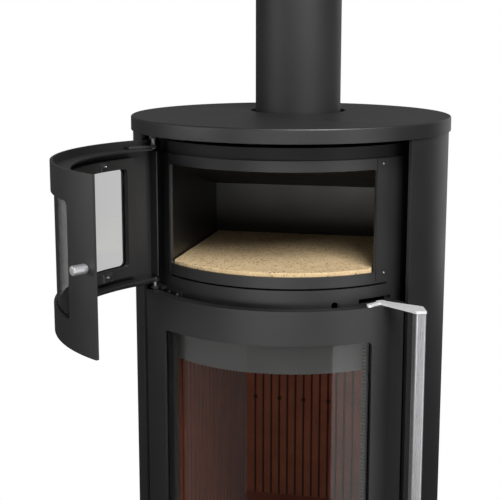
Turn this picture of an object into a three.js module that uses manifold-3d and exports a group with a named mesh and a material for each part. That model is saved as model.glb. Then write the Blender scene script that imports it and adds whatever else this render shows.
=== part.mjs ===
// A round wood-burning stove with a baking compartment above its firebox. The baking compartment's
// door stands open and the fire door's handle is pulled out, as at rest.
// Millimetres and degrees, +Z up. The origin is on the stove's axis on the floor; the doors face -Y.
// Plan angles are counted from the front, positive to the viewer's right.
import * as THREE from "three";
import { mergeVertices } from "three/addons/utils/BufferGeometryUtils.js";
import Module from "manifold-3d";

const wasm = await Module();
wasm.setup();

// ---- Driving dimensions -------------------------------------------------------------------

// Clearances
const SEAT_GAP = 0.3; // between pieces that rest on each other
const SLIP_GAP = 0.4; // between a pin and its hole, or a disc and the jacket around it
const SHEET_GAP = 0.5; // between curved sheets that follow each other

// Casing
const BODY_RADIUS = 267; // outside of the side panels and the doors
const CASING_SHEET = 3;
const CASING_EDGE_ANGLE = 54.3; // where the side panels end beside the doors
const CASING_EDGE_FOLD = 4; // how far the folded front edge turns inwards
const REAR_PANEL_HALF_ANGLE = 30;
const PLINTH_SETBACK = 27;
const PLINTH_HEIGHT = 40;
const BASE_PLATE_THICKNESS = 6;
const TOP_PLATE_OVERHANG = 3;
const TOP_PLATE_SHEET = 5;
const TOP_PLATE_RIM = 23; // height of the folded rim
const RIM_SHEET = 4;

// Front fascia and the jacket that it closes
const FASCIA_SETBACK = 30; // from the casing's outside to the fascia's
const FASCIA_SHEET = 4;
const FASCIA_HALF_ANGLE = 58;
const FASCIA_TOP_DROP = 19.5; // from the oven door's top edge down to the fascia's
const JACKET_SHEET = 3.5;
const JACKET_WINDOW_HALF_ANGLE = 50;

// Doors, from the floor up
const DOOR_SHEET = 4;
const DOOR_FLANGE = 3; // thickness of the folded edges
const DOOR_FLANGE_DEPTH = 17;
const HINGE_FLANGE_DEPTH = 24; // the hinge side's deeper fold
const DOOR_RIGHT_ANGLE = 52;
const OVEN_DOOR_LEFT_ANGLE = -50.5;
const FIRE_DOOR_LEFT_ANGLE = -51;
const LOWER_DOOR_LIFT = 8.7; // above the base plate
const LOWER_DOOR_HEIGHT = 338.1;
const CONTROL_GAP = 51; // strip between the lower door and the fire door
const FIRE_DOOR_HEIGHT = 569.4;
const OVEN_DOOR_GAP = 5.5;
const OVEN_DOOR_HEIGHT = 238.5;
const TOP_GAP = 9.5; // between the oven door and the top plate's rim
const OVEN_DOOR_OPEN_ANGLE = 83.4; // how far the oven door stands open at rest
const SHELF_INSET = 12; // of the oven door's two stiffening shelves from its edges
const SHELF_CLEARANCE = 2; // from these shelves to the fascia, when the door is shut
const SHELF_END_ANGLE = 44;

// Door windows
const OVEN_WINDOW_HALF_ANGLE = 38;
const OVEN_WINDOW_TOP_DROP = 41.5;
const OVEN_WINDOW_BOTTOM_RISE = 39;
const FIRE_WINDOW_HALF_ANGLE = 38.4;
const FIRE_WINDOW_TOP_DROP = 54.5;
const FIRE_WINDOW_BOTTOM_RISE = 60;
const WINDOW_CORNER = 8;
const GLASS_THICKNESS = 4;
const GLASS_LAP_ANGLE = 3; // degrees of glass behind each side of a window
const GLASS_RISE = 10; // glass above and below a window
const FRAME_DEPTH = 9; // of the inner frame that holds the glass
const FRAME_SIDE_ANGLE = 3.5; // width of the frame's stiles, in degrees
const FRAME_RAIL = 16;
const SEAL_DEPTH = 10;
const SEAL_SIDE_ANGLE = 1.8;
const SEAL_RAIL = 8;
const CLIP_ANGLE = -26;
const CLIP_HALF_WIDTH = 11;
const CLIP_HALF_HEIGHT = 7;
const CLIP_THICKNESS = 3.7;

// Openings in the fascia
const OVEN_OPENING_HALF_ANGLE = 43.9;
const OVEN_OPENING_TOP_DROP = 36.5;
const OVEN_OPENING_BOTTOM_RISE = 40;
const FIRE_OPENING_HALF_ANGLE = 40.5;
const FIRE_OPENING_TOP_DROP = 107.5;
const FIRE_OPENING_BOTTOM_RISE = 60;
const LOWER_OPENING_HALF_ANGLE = 42;
const LOWER_OPENING_MARGIN = 16;
const RELIEF_SLIT_DROP = 17.5; // below the oven's opening
const RELIEF_SLIT_HEIGHT = 3;

// Oven
const OVEN_SHEET = 3;
const OVEN_FLOOR_DROP = 6; // below the opening's sill
const OVEN_BACK_Y = 88;
const OVEN_BACK_HALF_WIDTH = 151.5;
const OVEN_CEILING_FALL = 69; // how far the ceiling falls towards the back
const STONE_THICKNESS = 12;
const STONE_SIDE_GAP = 3;

// Firebox
const HEARTH_RISE = 15; // hearth above the fire opening's sill
const HEARTH_THICKNESS = 22;
const FIREBOX_FLOOR_SHEET = 4;
const GRATE_SIDE = 158;
const GRATE_THICKNESS = 12;
const GRATE_HOLE_SIDE = 140;
const GRATE_SLOTS = 7;
const GRATE_SLOT_WIDTH = 9;
const GRATE_SLOT_LENGTH = 122;
const BRICK_THICKNESS = 22;
const BRICK_HEIGHT = 410;
const BRICK_FRONT_ANGLE = 54.9; // of a side brick's outer front corner
const BRICK_BACK_ANGLE = 142; // of its outer back corner
const BRICK_BACK_INSET = 10; // from the jacket to that corner
const BRICK_JOINT = 2; // how far the back brick laps behind the side bricks
const FLUTE_PITCH = 16;
const FLUTE_WIDTH = 3;
const FLUTE_DEPTH = 2;
const AIR_HOLE_RADIUS = 4;
const AIR_HOLE_PITCH = 48;
const AIR_HOLE_COUNT = 5;
const AIR_HOLE_HEIGHT = 200; // above the hearth
const BAFFLE_THICKNESS = 20;
const BAFFLE_SETBACK = 25; // behind the side bricks' front ends
const BAFFLE_LAP = 10; // rests this far over the side bricks
const LOG_GUARD_HEIGHT = 40;
const LOG_GUARD_THICKNESS = 6;
const LOG_GUARD_HALF_ANGLE = 36;

// Air supply, ash pan and store
const AIR_CHAMBER_HEIGHT = 108; // from its floor plate up to the firebox floor
const AIR_FLOOR_SHEET = 4;
const CHUTE_WALL = 3;
const ASH_PAN_HEADROOM = 6.5; // below the chute
const ASH_SHELF_SHEET = 3;
const ASH_PAN_WIDTH = 230;
const ASH_PAN_LENGTH = 260;
const ASH_PAN_HEIGHT = 66;
const ASH_PAN_WALL = 2;
const SPIGOT_RADIUS = 50;
const SPIGOT_WALL = 2;
const SPIGOT_STANDOUT = 1; // past the casing's back
const LEVER_PIVOT_INSET = 87; // behind the fascia
const LEVER_LIFT = 31.9; // above the lower door
const LEVER_THICKNESS = 3;
const LEVER_WIDTH = 16;
const LEVER_STANDOUT = 25; // in front of the fascia
const LEVER_SLOT_HALF_ANGLE = 8;
const LEVER_SLOT_HEIGHT = 9;
const SHUTTER_GAP = 15; // from the lever's shutter to the ash chute

// Flue
const PIPE_RADIUS = 75;
const PIPE_WALL = 2;
const PIPE_HEIGHT = 250; // above the top plate
const FLUE_SET_BACK = 80; // behind the stove's axis
const PIPE_HOLE_GAP = 9; // from the pipe to the edge of the top plate's hole
const BODY_TOP_SHEET = 4;
const BODY_TOP_DROP = 4; // below the jacket's upper edge
const COLLAR_WALL = 3;
const COLLAR_HEIGHT = 50;
const COLLAR_FLANGE = 9;

// Hinges
const HINGE_SETBACK = 14.25; // from the casing's outside to the hinge axis
const HINGE_ANGLE = -50.14;
const HINGE_PIN_RADIUS = 4;
const HINGE_LUG_RADIUS = 7;
const HINGE_PLATE = 4;
const HINGE_PIN_REACH = 14; // into each door
const HINGE_POCKET = 17; // the doors' edges are cut back this far from their ends

// Handle and latch of the fire door
const LATCH_SETBACK = 10; // from the casing's outside to the latch rod
const LATCH_ANGLE = 43.45;
const LATCH_ROD_RADIUS = 4;
const LATCH_PLATE = 4;
const LATCH_BOSS_RADIUS = 8;
const HANDLE_REACH = 69; // from the latch rod to the bar
const HANDLE_WIDTH = 16;
const HANDLE_DEPTH = 28;
const HANDLE_CORNER = 3;
const HANDLE_PULLED_ANGLE = -28.7; // of the arms, in plan, from +X
const HANDLE_SKEW_ANGLE = 133.4; // the bar's long side, from the arms
const HOOK_ANGLE = -97; // from the arms
const HOOK_LENGTH = 27; // from the latch rod to the middle of its round end
const HOOK_WIDTH = 7;
const HOOK_END_RADIUS = 4.5;
const LATCH_SLOT_FROM_ANGLE = 37;
const LATCH_SLOT_TO_ANGLE = 52.3;
const LATCH_SLOT_MARGIN = 1.5;
const KEYHOLE_ANGLE = 27;
const KEYHOLE_RADIUS = 5.2;

// Knobs
const KNOB_RADIUS = 6.5;
const KNOB_LENGTH = 22;
const KNOB_CHAMFER = 1.5;
const KNOB_ANGLE = 48.3;
const OVEN_KNOB_RISE = 117.5; // above the oven door's lower edge
const LOWER_KNOB_DROP = 50;

// Fineness of round shapes
const ARC_STEP = 5;
const ROUND_SIDES = 16;
const CORNER_SIDES = 12;
const PIPE_SIDES = 40;
const CUT = 5; // how far cutting tools pass through
const SLIVER = 0.02; // details finer than this are merged after a cut

// ---- Levels and radii that follow -------------------------------------------------------------

const BASE_TOP = PLINTH_HEIGHT + SEAT_GAP + BASE_PLATE_THICKNESS;
const LOWER_DOOR_BOTTOM = BASE_TOP + LOWER_DOOR_LIFT;
const LOWER_DOOR_TOP = LOWER_DOOR_BOTTOM + LOWER_DOOR_HEIGHT;
const FIRE_DOOR_BOTTOM = LOWER_DOOR_TOP + CONTROL_GAP;
const FIRE_DOOR_TOP = FIRE_DOOR_BOTTOM + FIRE_DOOR_HEIGHT;
const OVEN_DOOR_BOTTOM = FIRE_DOOR_TOP + OVEN_DOOR_GAP;
const OVEN_DOOR_TOP = OVEN_DOOR_BOTTOM + OVEN_DOOR_HEIGHT;
const RIM_BOTTOM = OVEN_DOOR_TOP + TOP_GAP;
const STOVE_HEIGHT = RIM_BOTTOM + TOP_PLATE_RIM;

const TOP_PLATE_RADIUS = BODY_RADIUS + TOP_PLATE_OVERHANG;
const PLINTH_RADIUS = BODY_RADIUS - PLINTH_SETBACK;
const FASCIA_RADIUS = BODY_RADIUS - FASCIA_SETBACK;
const HINGE_RADIUS = BODY_RADIUS - HINGE_SETBACK;
const LATCH_RADIUS = BODY_RADIUS - LATCH_SETBACK;
const JACKET_RADIUS = FASCIA_RADIUS - FASCIA_SHEET - SHEET_GAP;
const JACKET_INNER = JACKET_RADIUS - JACKET_SHEET;
const JACKET_TOP = OVEN_DOOR_TOP;
const DISC_RADIUS = JACKET_INNER - SLIP_GAP; // discs that fit in the jacket
const DOOR_INNER = BODY_RADIUS - DOOR_SHEET;
const GLASS_OUTER = DOOR_INNER - SHEET_GAP;
const GLASS_INNER = GLASS_OUTER - GLASS_THICKNESS;
const FRAME_OUTER = GLASS_INNER - SHEET_GAP;
const FRAME_INNER = FRAME_OUTER - FRAME_DEPTH;
const SEAL_OUTER = FRAME_INNER - SHEET_GAP;
const FLANGE_INNER = BODY_RADIUS - DOOR_FLANGE_DEPTH;
const SHELF_INNER = FASCIA_RADIUS + SHELF_CLEARANCE;
const LOWER_SHELF_BOTTOM = OVEN_DOOR_BOTTOM + SHELF_INSET;
const UPPER_SHELF_TOP = OVEN_DOOR_TOP - SHELF_INSET;

const FASCIA_TOP = OVEN_DOOR_TOP - FASCIA_TOP_DROP;
const FASCIA_BOTTOM = BASE_TOP + SEAT_GAP;
const OVEN_OPENING_TOP = OVEN_DOOR_TOP - OVEN_OPENING_TOP_DROP;
const OVEN_OPENING_BOTTOM = OVEN_DOOR_BOTTOM + OVEN_OPENING_BOTTOM_RISE;
const OVEN_FLOOR_TOP = OVEN_OPENING_BOTTOM - OVEN_FLOOR_DROP;
const FIRE_OPENING_TOP = FIRE_DOOR_TOP - FIRE_OPENING_TOP_DROP;
const FIRE_OPENING_BOTTOM = FIRE_DOOR_BOTTOM + FIRE_OPENING_BOTTOM_RISE;
const LOWER_OPENING_BOTTOM = LOWER_DOOR_BOTTOM + LOWER_OPENING_MARGIN;
const LOWER_OPENING_TOP = LOWER_DOOR_TOP - LOWER_OPENING_MARGIN;

const HEARTH_TOP = FIRE_OPENING_BOTTOM + HEARTH_RISE;
const BRICK_BOTTOM = HEARTH_TOP + SEAT_GAP;
const BRICK_TOP = BRICK_BOTTOM + BRICK_HEIGHT;
const FIREBOX_FLOOR_TOP = HEARTH_TOP - HEARTH_THICKNESS - SEAT_GAP;
const FIREBOX_FLOOR_BOTTOM = FIREBOX_FLOOR_TOP - FIREBOX_FLOOR_SHEET;
const AIR_FLOOR_TOP = FIREBOX_FLOOR_BOTTOM - AIR_CHAMBER_HEIGHT;
const AIR_FLOOR_BOTTOM = AIR_FLOOR_TOP - AIR_FLOOR_SHEET;
const CHUTE_BOTTOM = AIR_FLOOR_BOTTOM - CUT;
const ASH_SHELF_TOP = CHUTE_BOTTOM - ASH_PAN_HEADROOM - ASH_PAN_HEIGHT - SEAT_GAP;
const SPIGOT_HEIGHT = (FIREBOX_FLOOR_BOTTOM + AIR_FLOOR_TOP) / 2;
const SPIGOT_END_Y = BODY_RADIUS + SPIGOT_STANDOUT;
const LEVER_HEIGHT = LOWER_DOOR_TOP + LEVER_LIFT;
const LEVER_PIVOT_Y = -FASCIA_RADIUS + LEVER_PIVOT_INSET;
const LEVER_END_Y = -FASCIA_RADIUS - LEVER_STANDOUT;
const SHUTTER_RADIUS = -LEVER_PIVOT_Y - GRATE_HOLE_SIDE / 2 - CHUTE_WALL - SHUTTER_GAP;

const LATCH_UPPER_BOTTOM = FIRE_DOOR_TOP + SLIP_GAP;
const LATCH_LOWER_TOP = FIRE_DOOR_BOTTOM - SLIP_GAP;

// ---- Plan shapes --------------------------------------------------------------------------

const rad = THREE.MathUtils.degToRad;
const angleOf = (length, radius) => THREE.MathUtils.radToDeg(length / radius);
const unit = (angle) => new THREE.Vector2(Math.cos(rad(angle)), Math.sin(rad(angle)));
const polar = (radius, angle) =>
  new THREE.Vector2(radius * Math.sin(rad(angle)), -radius * Math.cos(rad(angle)));
const onto = (point, z) => new THREE.Vector3(point.x, point.y, z);

function arc(radius, from, to) {
  const steps = Math.max(1, Math.ceil(Math.abs(to - from) / ARC_STEP));
  return Array.from({ length: steps + 1 }, (_, i) => polar(radius, from + ((to - from) * i) / steps));
}

function circle(radius, centre = new THREE.Vector2(), sides = ROUND_SIDES) {
  return Array.from({ length: sides }, (_, i) =>
    unit((360 * i) / sides).multiplyScalar(radius).add(centre),
  );
}

const sector = (inner, outer, from, to) => [...arc(outer, from, to), ...arc(inner, to, from)];
const disc = (radius) => circle(radius, new THREE.Vector2(), 360 / ARC_STEP);

function rectangle(x0, x1, y0, y1) {
  return [
    new THREE.Vector2(x0, y0),
    new THREE.Vector2(x1, y0),
    new THREE.Vector2(x1, y1),
    new THREE.Vector2(x0, y1),
  ];
}

// ---- Solids ---------------------------------------------------------------------------------

// A plan outline, with any holes, made into a plate or post between two heights.
function upright(outline, bottom, top, holes = []) {
  const shape = new THREE.Shape(outline);
  shape.holes = holes.map((hole) => new THREE.Path(hole));
  const settings = { depth: top - bottom, bevelEnabled: false };
  return new THREE.ExtrudeGeometry(shape, settings).translate(0, 0, bottom);
}

// An outline in the Y-Z plane, made into a prism across the stove.
function crosswise(outline, halfWidth) {
  const settings = { depth: 2 * halfWidth, bevelEnabled: false };
  const prism = new THREE.ExtrudeGeometry(new THREE.Shape(outline), settings);
  const axes = new THREE.Matrix4().makeBasis(
    new THREE.Vector3(0, 1, 0),
    new THREE.Vector3(0, 0, 1),
    new THREE.Vector3(1, 0, 0),
  );
  return prism.applyMatrix4(axes).translate(-halfWidth, 0, 0);
}

// A round bar between two points.
function bar(from, to, radius, sides = ROUND_SIDES, endRadius = radius) {
  const along = to.clone().sub(from);
  const turn = new THREE.Quaternion().setFromUnitVectors(
    new THREE.Vector3(0, 1, 0),
    along.clone().normalize(),
  );
  const middle = from.clone().lerp(to, 0.5);
  return new THREE.CylinderGeometry(endRadius, radius, along.length(), sides)
    .applyQuaternion(turn)
    .translate(middle.x, middle.y, middle.z);
}

function solid(geometry) {
  const bare = geometry.clone();
  bare.deleteAttribute("normal");
  bare.deleteAttribute("uv");
  const merged = mergeVertices(bare, 1e-4);
  const vertProperties = merged.attributes.position.array;
  const triVerts = new Uint32Array(merged.index.array);
  return new wasm.Manifold(new wasm.Mesh({ numProp: 3, vertProperties, triVerts }));
}

function geometryOf(manifold) {
  const { vertProperties, triVerts } = manifold.simplify(SLIVER).getMesh();
  const geometry = new THREE.BufferGeometry();
  geometry.setAttribute("position", new THREE.Float32BufferAttribute(vertProperties, 3));
  geometry.setIndex(new THREE.Uint32BufferAttribute(triVerts, 1));
  geometry.computeVertexNormals();
  return geometry;
}

const join = (...pieces) => geometryOf(pieces.map(solid).reduce((whole, piece) => whole.add(piece)));
const cut = (body, ...tools) =>
  geometryOf(tools.map(solid).reduce((left, tool) => left.subtract(tool), solid(body)));
const common = (one, other) => geometryOf(solid(one).intersect(solid(other)));

// The block that cuts a window with round corners through a curved sheet.
function windowCutter(radius, sheet, left, right, bottom, top, corner) {
  const inner = radius - sheet - CUT;
  const outer = radius + CUT;
  const lean = angleOf(corner, radius);
  const corners = [left + lean, right - lean].flatMap((angle) =>
    [bottom + corner, top - corner].map((z) =>
      bar(onto(polar(inner, angle), z), onto(polar(outer, angle), z), corner, CORNER_SIDES),
    ),
  );
  return join(
    upright(sector(inner, outer, left + lean, right - lean), bottom, top),
    upright(sector(inner, outer, left, right), bottom + corner, top - corner),
    ...corners,
  );
}

// ---- The stove and its moving groups ----------------------------------------------------------

const stove = new THREE.Group();

function movingGroup(parent, x, y, turn) {
  const group = new THREE.Group();
  group.position.set(x, y, 0);
  group.rotation.z = rad(turn);
  parent.add(group);
  return group;
}

const hinge = polar(HINGE_RADIUS, HINGE_ANGLE);
const ovenDoor = movingGroup(stove, hinge.x, hinge.y, -OVEN_DOOR_OPEN_ANGLE);
const latchPlace = polar(LATCH_RADIUS, LATCH_ANGLE);
const handle = movingGroup(stove, latchPlace.x, latchPlace.y, HANDLE_PULLED_ANGLE);

const finish = {
  blackSteel: { color: 0x2e2f30, roughness: 0.55, metalness: 0.3 },
  flueSteel: { color: 0x3a3b3c, roughness: 0.6, metalness: 0.3 },
  innerSteel: { color: 0x1b1b1c, roughness: 0.8, metalness: 0.3 },
  castIron: { color: 0x2a2725, roughness: 0.85, metalness: 0.4 },
  brick: { color: 0x6b2f22, roughness: 0.9, metalness: 0 },
  stone: { color: 0xbfa27a, roughness: 0.9, metalness: 0 },
  glass: { color: 0xb8c0c2, roughness: 0.05, metalness: 0, transparent: true, opacity: 0.35 },
  brushed: { color: 0xb4b6ba, roughness: 0.35, metalness: 0.9 },
  zinc: { color: 0x8e9093, roughness: 0.45, metalness: 0.8 },
  rope: { color: 0x5d5a55, roughness: 0.95, metalness: 0 },
};

function add(name, geometry, look, group = stove) {
  const mesh = new THREE.Mesh(geometry, new THREE.MeshStandardMaterial(finish[look]));
  mesh.name = name;
  if (group === ovenDoor) mesh.position.set(-hinge.x, -hinge.y, 0); // drawn in its closed place
  group.add(mesh);
}

// ---- Casing -----------------------------------------------------------------------------------

function plinth() {
  const profile = [
    [0, 0],
    [PLINTH_RADIUS, 0],
    [PLINTH_RADIUS, PLINTH_HEIGHT],
    [PLINTH_RADIUS - CASING_SHEET, PLINTH_HEIGHT],
    [PLINTH_RADIUS - CASING_SHEET, CASING_SHEET],
    [0, CASING_SHEET],
  ].map(([r, z]) => new THREE.Vector2(r, z));
  return new THREE.LatheGeometry(profile, 360 / ARC_STEP).rotateX(Math.PI / 2);
}

function sidePanel(side) {
  const rear = 180 - REAR_PANEL_HALF_ANGLE - angleOf(SEAT_GAP, BODY_RADIUS);
  const front = CASING_EDGE_ANGLE;
  const foldEnd = front + angleOf(CASING_SHEET, BODY_RADIUS);
  const inner = BODY_RADIUS - CASING_SHEET;
  const bottom = BASE_TOP + SEAT_GAP;
  const top = RIM_BOTTOM - SEAT_GAP;
  const outline = [
    ...arc(BODY_RADIUS, front, rear),
    ...arc(inner, rear, foldEnd),
    polar(inner - CASING_EDGE_FOLD, foldEnd),
    polar(inner - CASING_EDGE_FOLD, front),
  ].map((point) => new THREE.Vector2(side * point.x, point.y));
  return upright(outline, bottom, top);
}

function rearPanel() {
  const bottom = BASE_TOP + SEAT_GAP;
  const top = RIM_BOTTOM - SEAT_GAP;
  const sheet = sector(
    BODY_RADIUS - CASING_SHEET,
    BODY_RADIUS,
    180 - REAR_PANEL_HALF_ANGLE,
    180 + REAR_PANEL_HALF_ANGLE,
  );
  const ventPitch = 20;
  const ventHeight = 8;
  const ventHalfAngle = 15;
  const ventCount = 4;
  const ventMargin = 30;
  const vents = Array.from({ length: 2 * ventCount }, (_, i) => {
    const row = i % ventCount;
    const z = i < ventCount ? bottom + ventMargin + row * ventPitch : top - ventMargin - row * ventPitch;
    const slot = sector(BODY_RADIUS - CUT, BODY_RADIUS + CUT, 180 - ventHalfAngle, 180 + ventHalfAngle);
    return upright(slot, z - ventHeight / 2, z + ventHeight / 2);
  });
  const spigotHole = bar(
    new THREE.Vector3(0, FASCIA_RADIUS, SPIGOT_HEIGHT),
    new THREE.Vector3(0, BODY_RADIUS + CUT, SPIGOT_HEIGHT),
    SPIGOT_RADIUS + CUT,
    PIPE_SIDES / 2,
  );
  return cut(upright(sheet, bottom, top), ...vents, spigotHole);
}

const flueCentre = new THREE.Vector2(0, FLUE_SET_BACK);

function topPlate() {
  const hole = circle(PIPE_RADIUS + PIPE_HOLE_GAP, flueCentre, PIPE_SIDES);
  const underside = STOVE_HEIGHT - TOP_PLATE_SHEET;
  return join(
    upright(disc(TOP_PLATE_RADIUS), underside, STOVE_HEIGHT, [hole]),
    upright(disc(TOP_PLATE_RADIUS), RIM_BOTTOM, STOVE_HEIGHT - TOP_PLATE_SHEET / 2, [
      disc(TOP_PLATE_RADIUS - RIM_SHEET),
    ]),
  );
}

add("base_plinth", plinth(), "innerSteel");
add("base_plate", upright(disc(BODY_RADIUS - 1), PLINTH_HEIGHT + SEAT_GAP, BASE_TOP), "blackSteel");
add("side_panel_left", sidePanel(-1), "blackSteel");
add("side_panel_right", sidePanel(1), "blackSteel");
add("rear_panel", rearPanel(), "blackSteel");
add("top_plate", topPlate(), "blackSteel");

// ---- Jacket and fascia --------------------------------------------------------------------------

const spigotBore = bar(
  new THREE.Vector3(0, JACKET_INNER - 2 * CUT, SPIGOT_HEIGHT),
  new THREE.Vector3(0, JACKET_RADIUS + CUT, SPIGOT_HEIGHT),
  SPIGOT_RADIUS + SLIP_GAP,
  PIPE_SIDES / 2,
);

function jacket() {
  const tube = upright(disc(JACKET_RADIUS), BASE_TOP + SEAT_GAP, JACKET_TOP, [disc(JACKET_INNER)]);
  const window = upright(
    sector(JACKET_INNER - CUT, JACKET_RADIUS + CUT, -JACKET_WINDOW_HALF_ANGLE, JACKET_WINDOW_HALF_ANGLE),
    LOWER_DOOR_BOTTOM,
    FASCIA_TOP - LOWER_OPENING_MARGIN / 2,
  );
  return cut(tube, window, spigotBore);
}

function hookSlot(bottom, top) {
  const slot = sector(
    FASCIA_RADIUS - FASCIA_SHEET - CUT,
    FASCIA_RADIUS + CUT,
    LATCH_SLOT_FROM_ANGLE,
    LATCH_SLOT_TO_ANGLE,
  );
  return upright(slot, bottom - LATCH_SLOT_MARGIN, top + LATCH_SLOT_MARGIN);
}

// The round-topped hole beside the upper latch slot.
function keyhole() {
  const inner = FASCIA_RADIUS - FASCIA_SHEET - CUT;
  const outer = FASCIA_RADIUS + CUT;
  const half = angleOf(KEYHOLE_RADIUS, FASCIA_RADIUS);
  const centre = FIRE_DOOR_TOP - SLIP_GAP;
  return join(
    upright(sector(inner, outer, KEYHOLE_ANGLE - half, KEYHOLE_ANGLE + half), centre - 3 * half, centre),
    bar(
      onto(polar(inner, KEYHOLE_ANGLE), centre),
      onto(polar(outer, KEYHOLE_ANGLE), centre),
      KEYHOLE_RADIUS,
    ),
  );
}

function fascia() {
  const openings = [
    [OVEN_OPENING_HALF_ANGLE, OVEN_OPENING_BOTTOM, OVEN_OPENING_TOP],
    [FIRE_OPENING_HALF_ANGLE, FIRE_OPENING_BOTTOM, FIRE_OPENING_TOP],
    [LOWER_OPENING_HALF_ANGLE, LOWER_OPENING_BOTTOM, LOWER_OPENING_TOP],
  ].map(([half, bottom, top]) =>
    windowCutter(FASCIA_RADIUS, FASCIA_SHEET, -half, half, bottom, top, WINDOW_CORNER / 2),
  );
  const inner = FASCIA_RADIUS - FASCIA_SHEET;
  const slitTop = OVEN_OPENING_BOTTOM - RELIEF_SLIT_DROP;
  const slit = sector(inner - CUT, FASCIA_RADIUS + CUT, -OVEN_OPENING_HALF_ANGLE, JACKET_WINDOW_HALF_ANGLE);
  const leverSlot = sector(
    inner - CUT,
    FASCIA_RADIUS + CUT,
    -2 * LEVER_SLOT_HALF_ANGLE,
    2 * LEVER_SLOT_HALF_ANGLE,
  );
  const leverMiddle = LEVER_HEIGHT + LEVER_THICKNESS / 2;
  return cut(
    upright(sector(inner, FASCIA_RADIUS, -FASCIA_HALF_ANGLE, FASCIA_HALF_ANGLE), FASCIA_BOTTOM, FASCIA_TOP),
    ...openings,
    upright(slit, slitTop - RELIEF_SLIT_HEIGHT, slitTop),
    hookSlot(LATCH_UPPER_BOTTOM, LATCH_UPPER_BOTTOM + LATCH_PLATE),
    hookSlot(LATCH_LOWER_TOP - LATCH_PLATE, LATCH_LOWER_TOP),
    keyhole(),
    upright(leverSlot, leverMiddle - LEVER_SLOT_HEIGHT / 2, leverMiddle + LEVER_SLOT_HEIGHT / 2),
  );
}

add("inner_jacket", jacket(), "innerSteel");
add("front_fascia", fascia(), "blackSteel");

// ---- Flue -----------------------------------------------------------------------------------------

const BODY_TOP_UPPER = JACKET_TOP - BODY_TOP_DROP;
const COLLAR_RADIUS = PIPE_RADIUS - PIPE_WALL - SLIP_GAP;
const COLLAR_FOOT = BODY_TOP_UPPER + SEAT_GAP;
const ring = (outer, inner) => [circle(outer, flueCentre, PIPE_SIDES), circle(inner, flueCentre, PIPE_SIDES)];

function flueCollar() {
  const bore = COLLAR_RADIUS - COLLAR_WALL;
  const [tube, tubeBore] = ring(COLLAR_RADIUS, bore);
  const [flange, flangeBore] = ring(PIPE_RADIUS + COLLAR_FLANGE, bore);
  return join(
    upright(tube, COLLAR_FOOT, COLLAR_FOOT + COLLAR_HEIGHT, [tubeBore]),
    upright(flange, COLLAR_FOOT, COLLAR_FOOT + COLLAR_WALL, [flangeBore]),
  );
}

const [pipeOutside, pipeBore] = ring(PIPE_RADIUS, PIPE_RADIUS - PIPE_WALL);
const pipeFoot = COLLAR_FOOT + COLLAR_WALL + SEAT_GAP;
const gasOutlet = circle(COLLAR_RADIUS - COLLAR_WALL, flueCentre, PIPE_SIDES);

add(
  "body_top",
  upright(disc(DISC_RADIUS), BODY_TOP_UPPER - BODY_TOP_SHEET, BODY_TOP_UPPER, [gasOutlet]),
  "innerSteel",
);
add("flue_collar", flueCollar(), "innerSteel");
add("flue_pipe", upright(pipeOutside, pipeFoot, STOVE_HEIGHT + PIPE_HEIGHT, [pipeBore]), "flueSteel");

// ---- Baking compartment -----------------------------------------------------------------------------

const OVEN_FRONT_RADIUS = FASCIA_RADIUS - FASCIA_SHEET - SHEET_GAP;

// The compartment's plan, grown outwards by a wall and ahead of its front.
function ovenPlan(wall, ahead) {
  const half = OVEN_OPENING_HALF_ANGLE + angleOf(1 + wall, OVEN_FRONT_RADIUS);
  const front = arc(OVEN_FRONT_RADIUS + ahead, -half, half);
  if (ahead) {
    front.unshift(polar(OVEN_FRONT_RADIUS, -half));
    front.push(polar(OVEN_FRONT_RADIUS, half));
  }
  return [
    ...front,
    new THREE.Vector2(OVEN_BACK_HALF_WIDTH + wall, OVEN_BACK_Y + wall),
    new THREE.Vector2(-OVEN_BACK_HALF_WIDTH - wall, OVEN_BACK_Y + wall),
  ];
}

// The compartment's side view, with its ceiling falling to the back, grown outwards by a wall.
function ovenProfile(wall) {
  const front = -FASCIA_RADIUS - CUT;
  const back = OVEN_BACK_Y + CUT;
  const ceilingFront = OVEN_OPENING_TOP + SEAT_GAP + wall;
  const slopeStart = -FASCIA_RADIUS * Math.cos(rad(OVEN_OPENING_HALF_ANGLE));
  return [
    new THREE.Vector2(front, OVEN_FLOOR_TOP - wall),
    new THREE.Vector2(back, OVEN_FLOOR_TOP - wall),
    new THREE.Vector2(back, ceilingFront - OVEN_CEILING_FALL),
    new THREE.Vector2(slopeStart, ceilingFront),
    new THREE.Vector2(front, ceilingFront),
  ];
}

function ovenSpace(wall, ahead) {
  const tall = upright(ovenPlan(wall, ahead), OVEN_FLOOR_TOP - 2 * CUT, OVEN_DOOR_TOP);
  return common(tall, crosswise(ovenProfile(wall), BODY_RADIUS));
}

const ovenBox = cut(ovenSpace(OVEN_SHEET, 0), ovenSpace(0, CUT));

function bakingStone() {
  const half = OVEN_OPENING_HALF_ANGLE - angleOf(STONE_SIDE_GAP, OVEN_FRONT_RADIUS);
  const backX = OVEN_BACK_HALF_WIDTH - STONE_SIDE_GAP;
  const backY = OVEN_BACK_Y - SEAT_GAP;
  const outline = [
    ...arc(OVEN_FRONT_RADIUS, -half, half),
    new THREE.Vector2(backX, backY),
    new THREE.Vector2(-backX, backY),
  ];
  const underside = OVEN_FLOOR_TOP + SEAT_GAP;
  return upright(outline, underside, underside + STONE_THICKNESS);
}

add("oven_box", ovenBox, "innerSteel");
add("baking_stone", bakingStone(), "stone");

// ---- Firebox -------------------------------------------------------------------------------------

const square = (side) => rectangle(-side / 2, side / 2, -side / 2, side / 2);

function fireboxFloor() {
  const chute = square(GRATE_HOLE_SIDE + 2 * CHUTE_WALL);
  return join(
    upright(disc(DISC_RADIUS), FIREBOX_FLOOR_BOTTOM, FIREBOX_FLOOR_TOP, [square(GRATE_HOLE_SIDE)]),
    upright(chute, CHUTE_BOTTOM, FIREBOX_FLOOR_TOP, [square(GRATE_HOLE_SIDE)]),
  );
}

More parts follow.
